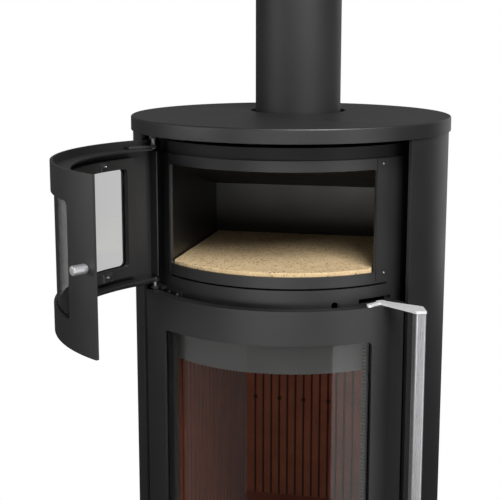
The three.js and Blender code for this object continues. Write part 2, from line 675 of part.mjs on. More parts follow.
function grate() {
  const pitch = (GRATE_SIDE - 2 * GRATE_SLOT_WIDTH) / GRATE_SLOTS;
  const underside = FIREBOX_FLOOR_TOP + SEAT_GAP;
  const slots = Array.from({ length: GRATE_SLOTS }, (_, i) => {
    const middle = (i - (GRATE_SLOTS - 1) / 2) * pitch;
    const half = GRATE_SLOT_WIDTH / 2;
    const slot = rectangle(middle - half, middle + half, -GRATE_SLOT_LENGTH / 2, GRATE_SLOT_LENGTH / 2);
    return upright(slot, underside - CUT, underside + GRATE_THICKNESS + CUT);
  });
  return cut(upright(square(GRATE_SIDE), underside, underside + GRATE_THICKNESS), ...slots);
}

// The outline of a firebrick from one inner corner to the other, with flutes along its inner face.
function flutedOutline(start, end, outward) {
  const along = end.clone().sub(start);
  const length = along.length();
  along.normalize();
  const count = Math.floor((length - FLUTE_PITCH / 2) / FLUTE_PITCH);
  const margin = (length - (count - 1) * FLUTE_PITCH) / 2;
  const place = (distance, depth) =>
    start.clone().addScaledVector(along, distance).addScaledVector(outward, depth);
  const flutes = Array.from({ length: count }, (_, i) => {
    const middle = margin + i * FLUTE_PITCH;
    return [
      place(middle - FLUTE_WIDTH / 2, 0),
      place(middle, FLUTE_DEPTH),
      place(middle + FLUTE_WIDTH / 2, 0),
    ];
  });
  return [start, ...flutes.flat(), end, place(length, BRICK_THICKNESS), place(0, BRICK_THICKNESS)];
}

const outerFront = polar(DISC_RADIUS - SLIP_GAP, BRICK_FRONT_ANGLE);
const outerBack = polar(DISC_RADIUS - BRICK_BACK_INSET, BRICK_BACK_ANGLE);
const brickAlong = outerBack.clone().sub(outerFront).normalize();
const brickOutward = new THREE.Vector2(brickAlong.y, -brickAlong.x);
const innerFront = outerFront.clone().addScaledVector(brickOutward, -BRICK_THICKNESS);
const innerBack = outerBack.clone().addScaledVector(brickOutward, -BRICK_THICKNESS);
const backBrickHalfWidth = innerBack.x + BRICK_JOINT;
const backBrickY = Math.sqrt(DISC_RADIUS ** 2 - backBrickHalfWidth ** 2) - BRICK_JOINT - BRICK_THICKNESS;

function sideBrick(side) {
  const outline = flutedOutline(innerFront, innerBack, brickOutward);
  return upright(
    outline.map((point) => new THREE.Vector2(side * point.x, point.y)),
    BRICK_BOTTOM,
    BRICK_TOP,
  );
}

function backBrick() {
  const outline = flutedOutline(
    new THREE.Vector2(-backBrickHalfWidth, backBrickY),
    new THREE.Vector2(backBrickHalfWidth, backBrickY),
    new THREE.Vector2(0, 1),
  );
  const height = HEARTH_TOP + AIR_HOLE_HEIGHT;
  const holes = Array.from({ length: AIR_HOLE_COUNT }, (_, i) => {
    const x = (i - (AIR_HOLE_COUNT - 1) / 2) * AIR_HOLE_PITCH;
    return bar(
      new THREE.Vector3(x, backBrickY - CUT, height),
      new THREE.Vector3(x, backBrickY + BRICK_THICKNESS + CUT, height),
      AIR_HOLE_RADIUS,
      ROUND_SIDES / 2,
    );
  });
  return cut(upright(outline, BRICK_BOTTOM, BRICK_TOP), ...holes);
}

function baffle() {
  const front = innerFront.clone().addScaledVector(brickAlong, BAFFLE_SETBACK);
  const frontX = front.x + BAFFLE_LAP;
  const backX = innerBack.x + BAFFLE_LAP;
  const backY = backBrickY + BRICK_THICKNESS / 2;
  const outline = [
    new THREE.Vector2(-frontX, front.y),
    new THREE.Vector2(frontX, front.y),
    new THREE.Vector2(backX, backY),
    new THREE.Vector2(-backX, backY),
  ];
  const underside = BRICK_TOP + SEAT_GAP;
  return upright(outline, underside, underside + BAFFLE_THICKNESS);
}

const guardOutline = sector(
  DISC_RADIUS - LOG_GUARD_THICKNESS,
  DISC_RADIUS,
  -LOG_GUARD_HALF_ANGLE,
  LOG_GUARD_HALF_ANGLE,
);

add("firebox_floor", fireboxFloor(), "innerSteel");
add(
  "hearth_brick",
  upright(disc(DISC_RADIUS), HEARTH_TOP - HEARTH_THICKNESS, HEARTH_TOP, [square(GRATE_SIDE + 2)]),
  "brick",
);
add("grate", grate(), "castIron");
add("firebrick_left", sideBrick(-1), "brick");
add("firebrick_right", sideBrick(1), "brick");
add("firebrick_back", backBrick(), "brick");
add("baffle_plate", baffle(), "brick");
add("log_guard", upright(guardOutline, BRICK_BOTTOM, BRICK_BOTTOM + LOG_GUARD_HEIGHT), "castIron");

// ---- Air supply, ash pan and store -----------------------------------------------------------------

function ashPan() {
  const bottom = ASH_SHELF_TOP + SEAT_GAP;
  const outside = (inset) =>
    rectangle(
      -ASH_PAN_WIDTH / 2 + inset,
      ASH_PAN_WIDTH / 2 - inset,
      -ASH_PAN_LENGTH / 2 + inset,
      ASH_PAN_LENGTH / 2 - inset,
    );
  return cut(
    upright(outside(0), bottom, bottom + ASH_PAN_HEIGHT),
    upright(outside(ASH_PAN_WALL), bottom + ASH_PAN_WALL, bottom + ASH_PAN_HEIGHT + CUT),
  );
}

function spigot() {
  const tube = (radius, overrun) =>
    bar(
      new THREE.Vector3(0, JACKET_INNER - CUT - overrun, SPIGOT_HEIGHT),
      new THREE.Vector3(0, SPIGOT_END_Y + overrun, SPIGOT_HEIGHT),
      radius,
      PIPE_SIDES / 2,
    );
  return cut(tube(SPIGOT_RADIUS, 0), tube(SPIGOT_RADIUS - SPIGOT_WALL, CUT));
}

const leverPivot = new THREE.Vector2(0, LEVER_PIVOT_Y);
const leverTop = LEVER_HEIGHT + LEVER_THICKNESS;

// A flat lever with a fan-shaped shutter behind its pivot.
function airLever() {
  const tongue = rectangle(-LEVER_WIDTH / 2, LEVER_WIDTH / 2, LEVER_END_Y, LEVER_PIVOT_Y);
  const fan = [
    new THREE.Vector2(-LEVER_WIDTH / 2, LEVER_PIVOT_Y),
    new THREE.Vector2(LEVER_WIDTH / 2, LEVER_PIVOT_Y),
    ...[60, 75, 90, 105, 120].map((angle) => unit(angle).multiplyScalar(SHUTTER_RADIUS).add(leverPivot)),
  ];
  const boss = circle(LEVER_WIDTH / 2 + 1, leverPivot);
  const hole = circle(HINGE_PIN_RADIUS + SLIP_GAP, leverPivot);
  return cut(
    join(...[tongue, fan, boss].map((outline) => upright(outline, LEVER_HEIGHT, leverTop))),
    upright(hole, LEVER_HEIGHT - CUT, leverTop + CUT),
  );
}

function airLeverPin() {
  const foot = AIR_FLOOR_TOP + SEAT_GAP;
  const shoulder = circle(LEVER_WIDTH / 2, leverPivot);
  return join(
    upright(circle(HINGE_PIN_RADIUS, leverPivot), foot, leverTop + LEVER_THICKNESS),
    upright(shoulder, foot, LEVER_HEIGHT - SEAT_GAP),
    upright(shoulder, leverTop + SEAT_GAP, leverTop + LEVER_THICKNESS),
  );
}

function airLeverKnob() {
  const from = new THREE.Vector3(0, LEVER_END_Y - SEAT_GAP, LEVER_HEIGHT + LEVER_THICKNESS / 2);
  return bar(from, from.clone().setY(LEVER_END_Y - KNOB_LENGTH), KNOB_RADIUS);
}

const chuteHole = square(GRATE_HOLE_SIDE + 2 * CHUTE_WALL + 2 * SLIP_GAP);

add(
  "air_chamber_floor",
  upright(disc(DISC_RADIUS), AIR_FLOOR_BOTTOM, AIR_FLOOR_TOP, [chuteHole]),
  "innerSteel",
);
add("air_spigot", spigot(), "zinc");
add("air_lever", airLever(), "zinc");
add("air_lever_pin", airLeverPin(), "zinc");
add("air_lever_knob", airLeverKnob(), "brushed");
add(
  "ash_shelf",
  upright(disc(DISC_RADIUS), ASH_SHELF_TOP - ASH_SHELF_SHEET, ASH_SHELF_TOP),
  "innerSteel",
);
add("ash_pan", ashPan(), "zinc");

// ---- Doors -----------------------------------------------------------------------------------------

const FOLD_SIDE_ANGLE = angleOf(DOOR_FLANGE, DOOR_INNER);
const DEEP_FOLD_INNER = BODY_RADIUS - HINGE_FLANGE_DEPTH;

// The deeper fold along a door's hinge side.
function hingeFold(left, bottom, top) {
  const fold = sector(DEEP_FOLD_INNER, FLANGE_INNER + 1, left, left + FOLD_SIDE_ANGLE);
  return upright(fold, bottom + HINGE_POCKET, top - HINGE_POCKET);
}

// Where a door's edges are cut back round its hinge pins.
function hingePockets(bottom, top) {
  const pocket = circle(HINGE_LUG_RADIUS + 1, hinge);
  return [
    upright(pocket, bottom - CUT, bottom + HINGE_POCKET),
    upright(pocket, top - HINGE_POCKET, top + CUT),
  ];
}

// A door's curved sheet with its folded edges, open at the back.
function doorShell(left, bottom, top) {
  const block = upright(sector(FLANGE_INNER, BODY_RADIUS, left, DOOR_RIGHT_ANGLE), bottom, top);
  const hollow = upright(
    sector(DEEP_FOLD_INNER - CUT, DOOR_INNER, left + FOLD_SIDE_ANGLE, DOOR_RIGHT_ANGLE - FOLD_SIDE_ANGLE),
    bottom + DOOR_FLANGE,
    top - DOOR_FLANGE,
  );
  return cut(join(block, hingeFold(left, bottom, top)), hollow, ...hingePockets(bottom, top));
}

// The oven door's curved sheet. Only its hinge side is folded, and two shelves stiffen it above and
// below the window.
function ovenDoorShell() {
  const left = OVEN_DOOR_LEFT_ANGLE;
  const bottom = OVEN_DOOR_BOTTOM;
  const top = OVEN_DOOR_TOP;
  const shelfOutline = sector(SHELF_INNER, DOOR_INNER + 1, left, SHELF_END_ANGLE);
  return cut(
    join(
      upright(sector(DOOR_INNER, BODY_RADIUS, left, DOOR_RIGHT_ANGLE), bottom, top),
      upright(sector(FLANGE_INNER, DOOR_INNER + 1, left, left + FOLD_SIDE_ANGLE), bottom, top),
      hingeFold(left, bottom, top),
      upright(shelfOutline, LOWER_SHELF_BOTTOM, LOWER_SHELF_BOTTOM + DOOR_FLANGE),
      upright(shelfOutline, UPPER_SHELF_TOP - DOOR_FLANGE, UPPER_SHELF_TOP),
    ),
    ...hingePockets(bottom, top),
  );
}

function glassPane(half, bottom, top) {
  const pane = sector(GLASS_INNER, GLASS_OUTER, -half - GLASS_LAP_ANGLE, half + GLASS_LAP_ANGLE);
  return upright(pane, bottom - GLASS_RISE, top + GLASS_RISE);
}

// A frame that follows a window's edges.
function borderFrame(inner, outer, half, bottom, top, stile, rail) {
  return cut(
    upright(sector(inner, outer, -half - stile, half + stile), bottom - rail, top + rail),
    windowCutter(outer, outer - inner, -half, half, bottom, top, WINDOW_CORNER),
  );
}

// A flat strap round a hinge pin, reaching along the inside of a door.
function hingeStrap(bottom) {
  const reach = -39;
  const root = -49.3;
  const arm = [
    polar(FLANGE_INNER - HINGE_LUG_RADIUS, root),
    polar(FLANGE_INNER, reach),
    ...arc(DOOR_INNER - SHEET_GAP, reach, root),
  ];
  return cut(
    join(
      upright(circle(HINGE_LUG_RADIUS, hinge), bottom, bottom + HINGE_PLATE),
      upright(arm, bottom, bottom + HINGE_PLATE),
    ),
    upright(circle(HINGE_PIN_RADIUS + SLIP_GAP, hinge), bottom - CUT, bottom + HINGE_PLATE + CUT),
  );
}

const strapUnderTop = (top) => top - DOOR_FLANGE - SEAT_GAP - HINGE_PLATE;
const strapOverBottom = (bottom) => bottom + DOOR_FLANGE + SEAT_GAP;
const strapOnUpperShelf = UPPER_SHELF_TOP + SEAT_GAP;
const strapUnderLowerShelf = LOWER_SHELF_BOTTOM - SEAT_GAP - HINGE_PLATE;

function doorKnob(z) {
  const place = (radius) => onto(polar(radius, KNOB_ANGLE), z);
  const base = BODY_RADIUS + SEAT_GAP;
  const end = base + KNOB_LENGTH;
  return join(
    bar(place(base), place(end - KNOB_CHAMFER), KNOB_RADIUS),
    bar(place(end - 2 * KNOB_CHAMFER), place(end), KNOB_RADIUS, ROUND_SIDES, KNOB_RADIUS - KNOB_CHAMFER),
  );
}

// A small folded tab on the inner frame that holds the glass.
function glassClip(z) {
  const half = angleOf(CLIP_HALF_WIDTH, FRAME_INNER);
  const outer = FRAME_INNER - SEAT_GAP;
  const tab = sector(outer - CLIP_THICKNESS, outer, CLIP_ANGLE - half, CLIP_ANGLE + half);
  return upright(tab, z - CLIP_HALF_HEIGHT, z + CLIP_HALF_HEIGHT);
}

const OVEN_WINDOW_BOTTOM = OVEN_DOOR_BOTTOM + OVEN_WINDOW_BOTTOM_RISE;
const OVEN_WINDOW_TOP = OVEN_DOOR_TOP - OVEN_WINDOW_TOP_DROP;
const ovenWindow = [OVEN_WINDOW_HALF_ANGLE, OVEN_WINDOW_BOTTOM, OVEN_WINDOW_TOP];
const FIRE_WINDOW_BOTTOM = FIRE_DOOR_BOTTOM + FIRE_WINDOW_BOTTOM_RISE;
const FIRE_WINDOW_TOP = FIRE_DOOR_TOP - FIRE_WINDOW_TOP_DROP;
const fireWindow = [FIRE_WINDOW_HALF_ANGLE, FIRE_WINDOW_BOTTOM, FIRE_WINDOW_TOP];

const doorWindow = ([half, bottom, top]) =>
  windowCutter(BODY_RADIUS, DOOR_SHEET, -half, half, bottom, top, WINDOW_CORNER);

add("oven_door_shell", cut(ovenDoorShell(), doorWindow(ovenWindow)), "blackSteel", ovenDoor);
add("oven_door_glass", glassPane(...ovenWindow), "glass", ovenDoor);
add(
  "oven_door_frame",
  borderFrame(FRAME_INNER, FRAME_OUTER, ...ovenWindow, FRAME_SIDE_ANGLE, FRAME_RAIL),
  "blackSteel",
  ovenDoor,
);
add("oven_glass_clip_upper", glassClip(OVEN_WINDOW_TOP + FRAME_RAIL / 2), "zinc", ovenDoor);
add("oven_glass_clip_lower", glassClip(OVEN_WINDOW_BOTTOM - FRAME_RAIL / 2), "zinc", ovenDoor);
add("oven_door_knob", doorKnob(OVEN_DOOR_BOTTOM + OVEN_KNOB_RISE), "brushed", ovenDoor);
add("oven_hinge_strap_upper", hingeStrap(strapOnUpperShelf), "blackSteel", ovenDoor);
add("oven_hinge_strap_lower", hingeStrap(strapUnderLowerShelf), "blackSteel", ovenDoor);

const rodHole = upright(
  circle(LATCH_ROD_RADIUS + SLIP_GAP, latchPlace),
  FIRE_DOOR_BOTTOM - CUT,
  FIRE_DOOR_TOP + CUT,
);
const fireShell = doorShell(FIRE_DOOR_LEFT_ANGLE, FIRE_DOOR_BOTTOM, FIRE_DOOR_TOP);
add("fire_door_shell", cut(fireShell, doorWindow(fireWindow), rodHole), "blackSteel");
add("fire_door_glass", glassPane(...fireWindow), "glass");
add(
  "fire_door_frame",
  borderFrame(FRAME_INNER, FRAME_OUTER, ...fireWindow, FRAME_SIDE_ANGLE, FRAME_RAIL),
  "innerSteel",
);
add(
  "fire_door_seal",
  borderFrame(SEAL_OUTER - SEAL_DEPTH, SEAL_OUTER, ...fireWindow, SEAL_SIDE_ANGLE, SEAL_RAIL),
  "rope",
);
add("fire_hinge_strap_upper", hingeStrap(strapUnderTop(FIRE_DOOR_TOP)), "blackSteel");
add("fire_hinge_strap_lower", hingeStrap(strapOverBottom(FIRE_DOOR_BOTTOM)), "blackSteel");

add("lower_door_shell", doorShell(FIRE_DOOR_LEFT_ANGLE, LOWER_DOOR_BOTTOM, LOWER_DOOR_TOP), "blackSteel");
add("lower_door_knob", doorKnob(LOWER_DOOR_TOP - LOWER_KNOB_DROP), "brushed");
add("lower_hinge_strap_upper", hingeStrap(strapUnderTop(LOWER_DOOR_TOP)), "blackSteel");
add("lower_hinge_strap_lower", hingeStrap(strapOverBottom(LOWER_DOOR_BOTTOM)), "blackSteel");

// ---- Hinge brackets and pins ------------------------------------------------------------------------

const BRACKET_FOOT_FROM_ANGLE = -47;
const BRACKET_FOOT_TO_ANGLE = -35;
const BRACKET_ROOT_ANGLE = -55;

// A level plate round the hinge axis, drilled for a pin and reaching back to a curved wall.
function bracketPlate(wallRadius, bottom) {
  const plate = [
    ...arc(wallRadius, BRACKET_ROOT_ANGLE, BRACKET_FOOT_FROM_ANGLE),
    polar(FLANGE_INNER - 2, BRACKET_FOOT_FROM_ANGLE),
    polar(FLANGE_INNER - 2, BRACKET_ROOT_ANGLE + 3),
  ];
  return join(
    upright(plate, bottom, bottom + HINGE_PLATE),
    upright(circle(HINGE_LUG_RADIUS, hinge), bottom, bottom + HINGE_PLATE),
  );
}

function bracketFoot(wallRadius, bottom, top) {
  const foot = sector(wallRadius, wallRadius + CASING_SHEET, BRACKET_ROOT_ANGLE, BRACKET_FOOT_TO_ANGLE);
  return upright(foot, bottom, top);
}

const drilled = (bracket) =>
  cut(bracket, upright(circle(HINGE_PIN_RADIUS + SLIP_GAP, hinge), 0, STOVE_HEIGHT));

const headerWall = JACKET_RADIUS + SLIP_GAP;
const fasciaWall = FASCIA_RADIUS + SHEET_GAP;
const TOP_PLATE_BRACKET = OVEN_DOOR_TOP + (TOP_GAP - HINGE_PLATE) / 2;
const MIDDLE_BRACKET = FIRE_DOOR_TOP + (OVEN_DOOR_GAP - HINGE_PLATE) / 2;
const FIRE_LOWER_BRACKET = FIRE_DOOR_BOTTOM - SLIP_GAP - HINGE_PLATE;
const STORE_UPPER_BRACKET = LOWER_DOOR_TOP + SLIP_GAP;
const STORE_LOWER_BRACKET = LOWER_DOOR_BOTTOM - SLIP_GAP - HINGE_PLATE;
const FOOT_HEIGHT = 12;

const topBracket = join(
  bracketPlate(headerWall, TOP_PLATE_BRACKET),
  bracketFoot(headerWall, TOP_PLATE_BRACKET, TOP_PLATE_BRACKET + FOOT_HEIGHT),
);
const lowerBracket = join(
  bracketPlate(fasciaWall, FIRE_LOWER_BRACKET),
  bracketPlate(fasciaWall, STORE_UPPER_BRACKET),
  bracketFoot(fasciaWall, STORE_UPPER_BRACKET, FIRE_LOWER_BRACKET + HINGE_PLATE),
);

add("hinge_bracket_top", drilled(topBracket), "blackSteel");
add("hinge_bracket_middle", drilled(bracketPlate(fasciaWall, MIDDLE_BRACKET)), "blackSteel");
add("hinge_bracket_lower", drilled(lowerBracket), "blackSteel");
add("hinge_bracket_base", drilled(bracketPlate(fasciaWall, STORE_LOWER_BRACKET)), "blackSteel");

const hingePin = (bottom, top) => upright(circle(HINGE_PIN_RADIUS, hinge), bottom, top);

add(
  "hinge_pin_top",
  hingePin(OVEN_DOOR_TOP - HINGE_PIN_REACH, TOP_PLATE_BRACKET + HINGE_PLATE + 1),
  "zinc",
);
add(
  "hinge_pin_middle",
  hingePin(FIRE_DOOR_TOP - HINGE_PIN_REACH, OVEN_DOOR_BOTTOM + HINGE_PIN_REACH),
  "zinc",
);
add(
  "hinge_pin_fire_lower",
  hingePin(FIRE_LOWER_BRACKET - 1, FIRE_DOOR_BOTTOM + HINGE_PIN_REACH),
  "zinc",
);
add(
  "hinge_pin_store_upper",
  hingePin(LOWER_DOOR_TOP - HINGE_PIN_REACH, STORE_UPPER_BRACKET + HINGE_PLATE + 1),
  "zinc",
);
add(
  "hinge_pin_store_lower",
  hingePin(STORE_LOWER_BRACKET - 1, LOWER_DOOR_BOTTOM + HINGE_PIN_REACH),
  "zinc",
);

// ---- Handle and latch --------------------------------------------------------------------------------

// The handle's own frame has the latch rod at its origin and the arms along +X.
const barCentre = new THREE.Vector2(HANDLE_REACH, 0);
const barLong = unit(HANDLE_SKEW_ANGLE);
const barShort = unit(HANDLE_SKEW_ANGLE + 90);
const barCorner = (long, short) =>
  barCentre.clone().addScaledVector(barLong, long).addScaledVector(barShort, short);

function barOutline() {
  const corners = [
    [1, 1],
    [-1, 1],
    [-1, -1],
    [1, -1],
  ];
  const long = HANDLE_DEPTH / 2 - HANDLE_CORNER;
  const short = HANDLE_WIDTH / 2 - HANDLE_CORNER;
  return corners.flatMap(([longSide, shortSide], quarter) =>
    [0, 0.5, 1].map((step) =>
      barCorner(longSide * long, shortSide * short).addScaledVector(
        unit(HANDLE_SKEW_ANGLE + 90 * (quarter + step)),
        HANDLE_CORNER,
      ),
    ),
  );
}

// A flat arm from the latch rod to the bar's end, with the hook that enters the fascia's slot.
function latchArm(bottom) {
  const neck = LATCH_BOSS_RADIUS - 2;
  const arm = [
    new THREE.Vector2(0, -neck),
    barCorner(-HANDLE_DEPTH / 2, HANDLE_WIDTH / 2),
    barCorner(-HANDLE_DEPTH / 2, -HANDLE_WIDTH / 2),
    barCorner(HANDLE_DEPTH / 2, -HANDLE_WIDTH / 2),
    new THREE.Vector2(0, neck),
  ];
  const along = unit(HOOK_ANGLE);
  const across = unit(HOOK_ANGLE + 90).multiplyScalar(HOOK_WIDTH / 2);
  const hookEnd = along.clone().multiplyScalar(HOOK_LENGTH);
  const hook = [across.clone().negate(), hookEnd.clone().sub(across), hookEnd.clone().add(across), across];
  const outlines = [arm, hook, circle(HOOK_END_RADIUS, hookEnd), circle(LATCH_BOSS_RADIUS)];
  return join(...outlines.map((outline) => upright(outline, bottom, bottom + LATCH_PLATE)));
}

add(
  "handle_bar",
  upright(barOutline(), LATCH_LOWER_TOP + SEAT_GAP, LATCH_UPPER_BOTTOM - SEAT_GAP),
  "brushed",
  handle,
);
add("latch_arm_upper", latchArm(LATCH_UPPER_BOTTOM), "brushed", handle);
add("latch_arm_lower", latchArm(LATCH_LOWER_TOP - LATCH_PLATE), "brushed", handle);
add(
  "latch_rod",
  upright(circle(LATCH_ROD_RADIUS), LATCH_LOWER_TOP + SEAT_GAP, LATCH_UPPER_BOTTOM - SEAT_GAP),
  "zinc",
  handle,
);

export default stove;
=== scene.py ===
import math

import bmesh
import bpy
from mathutils import Matrix, Vector


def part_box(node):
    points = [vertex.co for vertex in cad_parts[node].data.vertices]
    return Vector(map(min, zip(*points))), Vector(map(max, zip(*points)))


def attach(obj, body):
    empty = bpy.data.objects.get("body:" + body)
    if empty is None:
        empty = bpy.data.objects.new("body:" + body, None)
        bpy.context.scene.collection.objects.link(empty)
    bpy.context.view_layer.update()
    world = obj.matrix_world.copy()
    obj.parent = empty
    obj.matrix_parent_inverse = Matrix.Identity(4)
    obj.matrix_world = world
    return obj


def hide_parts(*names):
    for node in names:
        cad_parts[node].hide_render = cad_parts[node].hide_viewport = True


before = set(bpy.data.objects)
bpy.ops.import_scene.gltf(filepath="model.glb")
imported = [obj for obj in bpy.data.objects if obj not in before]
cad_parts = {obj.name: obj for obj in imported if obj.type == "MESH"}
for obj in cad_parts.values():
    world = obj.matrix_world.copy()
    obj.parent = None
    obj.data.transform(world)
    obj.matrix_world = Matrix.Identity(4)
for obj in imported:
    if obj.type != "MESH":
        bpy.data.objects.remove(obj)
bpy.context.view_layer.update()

# ---- Sizes, in metres and degrees ----------------------------------------------------------------
# Plan angles are counted from the front of the stove, positive to the viewer's right.

MM = 0.001
CASING_SHEET = 3 * MM
DOOR_SHEET = 4 * MM
FASCIA_SHEET = 4 * MM
JACKET_SHEET = 3.5 * MM
GLASS_THICKNESS = 4 * MM
FRAME_DEPTH = 9 * MM
SEAL_DEPTH = 10 * MM
SHEET_GAP = 0.5 * MM  # between curved sheets that follow each other
FASCIA_SETBACK = 30 * MM


def low(node):
    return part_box(node)[0].z


def high(node):
    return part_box(node)[1].z


BODY_RADIUS = (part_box("side_panel_right")[1].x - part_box("side_panel_left")[0].x) / 2
FASCIA_RADIUS = BODY_RADIUS - FASCIA_SETBACK
JACKET_RADIUS = FASCIA_RADIUS - FASCIA_SHEET - SHEET_GAP
PLATE_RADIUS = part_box("top_plate")[1].x
PLATE_TOP = high("top_plate")
PIPE_CENTRE = Vector((0, 80 * MM, 0))
PIPE_RADIUS = 75 * MM
GLASS_RADIUS = BODY_RADIUS - DOOR_SHEET - SHEET_GAP
FRAME_RADIUS = GLASS_RADIUS - GLASS_THICKNESS - SHEET_GAP
SEAL_RADIUS = FRAME_RADIUS - FRAME_DEPTH - SHEET_GAP

CASING_EDGE = 54.3
REAR_SEAM = 150
DOOR_RIGHT = 52
OVEN_DOOR_LEFT = -50.5
FIRE_DOOR_LEFT = -51
OVEN_WINDOW_HALF = 38
FIRE_WINDOW_HALF = 38.4

OVEN_DOOR_BOTTOM = low("oven_door_shell")
OVEN_DOOR_TOP = high("oven_door_shell")
FIRE_DOOR_BOTTOM = low("fire_door_shell")
FIRE_DOOR_TOP = high("fire_door_shell")
STORE_DOOR_BOTTOM = low("lower_door_shell")
STORE_DOOR_TOP = high("lower_door_shell")
FASCIA_TOP = high("front_fascia")
OVEN_WINDOW = (OVEN_DOOR_BOTTOM + 39 * MM, OVEN_DOOR_TOP - 41.5 * MM)
FIRE_WINDOW = (FIRE_DOOR_BOTTOM + 60 * MM, FIRE_DOOR_TOP - 54.5 * MM)
OVEN_OPENING = (OVEN_DOOR_BOTTOM + 40 * MM, OVEN_DOOR_TOP - 36.5 * MM)
FIRE_OPENING = (FIRE_DOOR_BOTTOM + 60 * MM, FIRE_DOOR_TOP - 107.5 * MM)
STORE_OPENING = (STORE_DOOR_BOTTOM + 16 * MM, STORE_DOOR_TOP - 16 * MM)

OVEN_DOOR_OPEN = 83.4
HANDLE_TURNED = -28.7
LATCH_ANGLE = 43.45
KNOB_ANGLE = 48.3

ROLL_STEP = 2  # degrees between the bend lines of a rolled sheet
EDGE = 0.5 * MM  # rounding of cut sheet edges
DOOR_EDGE = 0.8 * MM
SHEET_CORNER = 1 * MM
WINDOW_CORNER = 8 * MM
FOLD_SHEET = 3 * MM  # thickness of the doors' folded edges and shelves
FOLD_START = 2 * MM  # from a door's outside to where its folds begin, within its sheet
FOLD_DEPTH = 17 * MM
HINGE_FOLD_DEPTH = 24 * MM
HINGE_POCKET = 17 * MM  # height that the hinge side's fold leaves free for each pin
FOLD_INSET = 0.15 * MM  # keeps a fold's face off the sheet's upper and lower edge
FREE_EDGE_INSET = 0.00015  # degrees, keeps it off the free edge
HINGE_EDGE_INSET = 0.01  # degrees, keeps it off the hinge side's edge
FOLD_ANGLE = math.degrees(FOLD_SHEET / BODY_RADIUS)
PIN_ROOM = 2.3  # degrees that a door's folds keep from its hinge side's end
ROD_ROOM = 1.1  # degrees that they keep on each side of the latch rod
SAME_PLACE = 1e-6  # points closer than this are joined
FLAT_ANGLE = 0.5  # degrees between a CAD shape's facets that are joined into one
FACET_ANGLE = 35  # degrees between those that meet in a rounded edge

scene = bpy.context.scene


def polar(radius, angle, z=0.0):
    turn = math.radians(angle)
    return Vector((radius * math.sin(turn), -radius * math.cos(turn), z))


# ---- Node groups ---------------------------------------------------------------------------------


def new_group(name, inputs, outputs):
    tree = bpy.data.node_groups.new(name, "ShaderNodeTree")
    for label, kind, value in inputs:
        tree.interface.new_socket(label, in_out="INPUT", socket_type=kind).default_value = value
    for label, kind in outputs:
        tree.interface.new_socket(label, in_out="OUTPUT", socket_type=kind)
    return tree


def add_node(tree, kind, **settings):
    made = tree.nodes.new(kind)
    for name, value in settings.items():
        setattr(made, name, value)
    return made


def wire(tree, source, target):
    tree.links.new(source, target)


def noise(tree, vector, scale, detail=4.0, roughness=0.55):
    made = add_node(tree, "ShaderNodeTexNoise")
    wire(tree, vector, made.inputs["Vector"])
    if isinstance(scale, (int, float)):
        made.inputs["Scale"].default_value = scale
    else:
        wire(tree, scale, made.inputs["Scale"])
    made.inputs["Detail"].default_value = detail
    made.inputs["Roughness"].default_value = roughness
    return made.outputs["Fac"]


def ranged(tree, value, low_in, high_in, low_out, high_out):
    made = add_node(tree, "ShaderNodeMapRange")
    wire(tree, value, made.inputs["Value"])
    for socket, number in zip(
        ("From Min", "From Max", "To Min", "To Max"), (low_in, high_in, low_out, high_out)
    ):
        if isinstance(number, (int, float)):
            made.inputs[socket].default_value = number
        else:
            wire(tree, number, made.inputs[socket])
    return made.outputs["Result"]


def maths(tree, operation, one, other=0.0):
    made = add_node(tree, "ShaderNodeMath", operation=operation)
    for socket, value in zip(made.inputs, (one, other)):
        if isinstance(value, (int, float)):
            socket.default_value = value
        else:
            wire(tree, value, socket)
    return made.outputs[0]


def blend_colours(tree, factor, dark, light, blend="MIX"):
    made = add_node(tree, "ShaderNodeMix", data_type="RGBA", blend_type=blend)
    wire(tree, factor, made.inputs[0])
    for socket, value in ((made.inputs[6], dark), (made.inputs[7], light)):
        if isinstance(value, (tuple, list)):
            socket.default_value = value
        else:
            wire(tree, value, socket)
    return made.outputs[2]


COLOUR = "NodeSocketColor"
NUMBER = "NodeSocketFloat"


def object_coordinates(tree):
    return add_node(tree, "ShaderNodeTexCoord").outputs["Object"]


def mottle_group():
    """Broad uneven patches and a fine grain, as on painted, cast and fired surfaces."""
    tree = new_group(
        "Mottle",
        [
            ("Dark", COLOUR, (0.02, 0.02, 0.02, 1)),
            ("Light", COLOUR, (0.03, 0.03, 0.03, 1)),
            ("Patches per metre", NUMBER, 9.0),
            ("Grains per metre", NUMBER, 1500.0),
            ("Grain share", NUMBER, 0.4),
            ("Smooth", NUMBER, 0.45),
            ("Rough", NUMBER, 0.6),
        ],
        [("Color", COLOUR), ("Roughness", NUMBER), ("Height", NUMBER)],
    )
    given = add_node(tree, "NodeGroupInput").outputs
    result = add_node(tree, "NodeGroupOutput").inputs
    place = object_coordinates(tree)
    patches = noise(tree, place, given["Patches per metre"])
    grains = noise(tree, place, given["Grains per metre"], 2.0)
    mixed = add_node(tree, "ShaderNodeMix", data_type="FLOAT")
    wire(tree, given["Grain share"], mixed.inputs[0])
    wire(tree, patches, mixed.inputs[2])
    wire(tree, grains, mixed.inputs[3])
    share = ranged(tree, mixed.outputs[0], 0.3, 0.7, 0.0, 1.0)
    wire(tree, blend_colours(tree, share, given["Dark"], given["Light"]), result["Color"])
    gloss = ranged(tree, patches, 0.3, 0.7, given["Smooth"], given["Rough"])
    wire(tree, gloss, result["Roughness"])
    wire(tree, grains, result["Height"])
    return tree


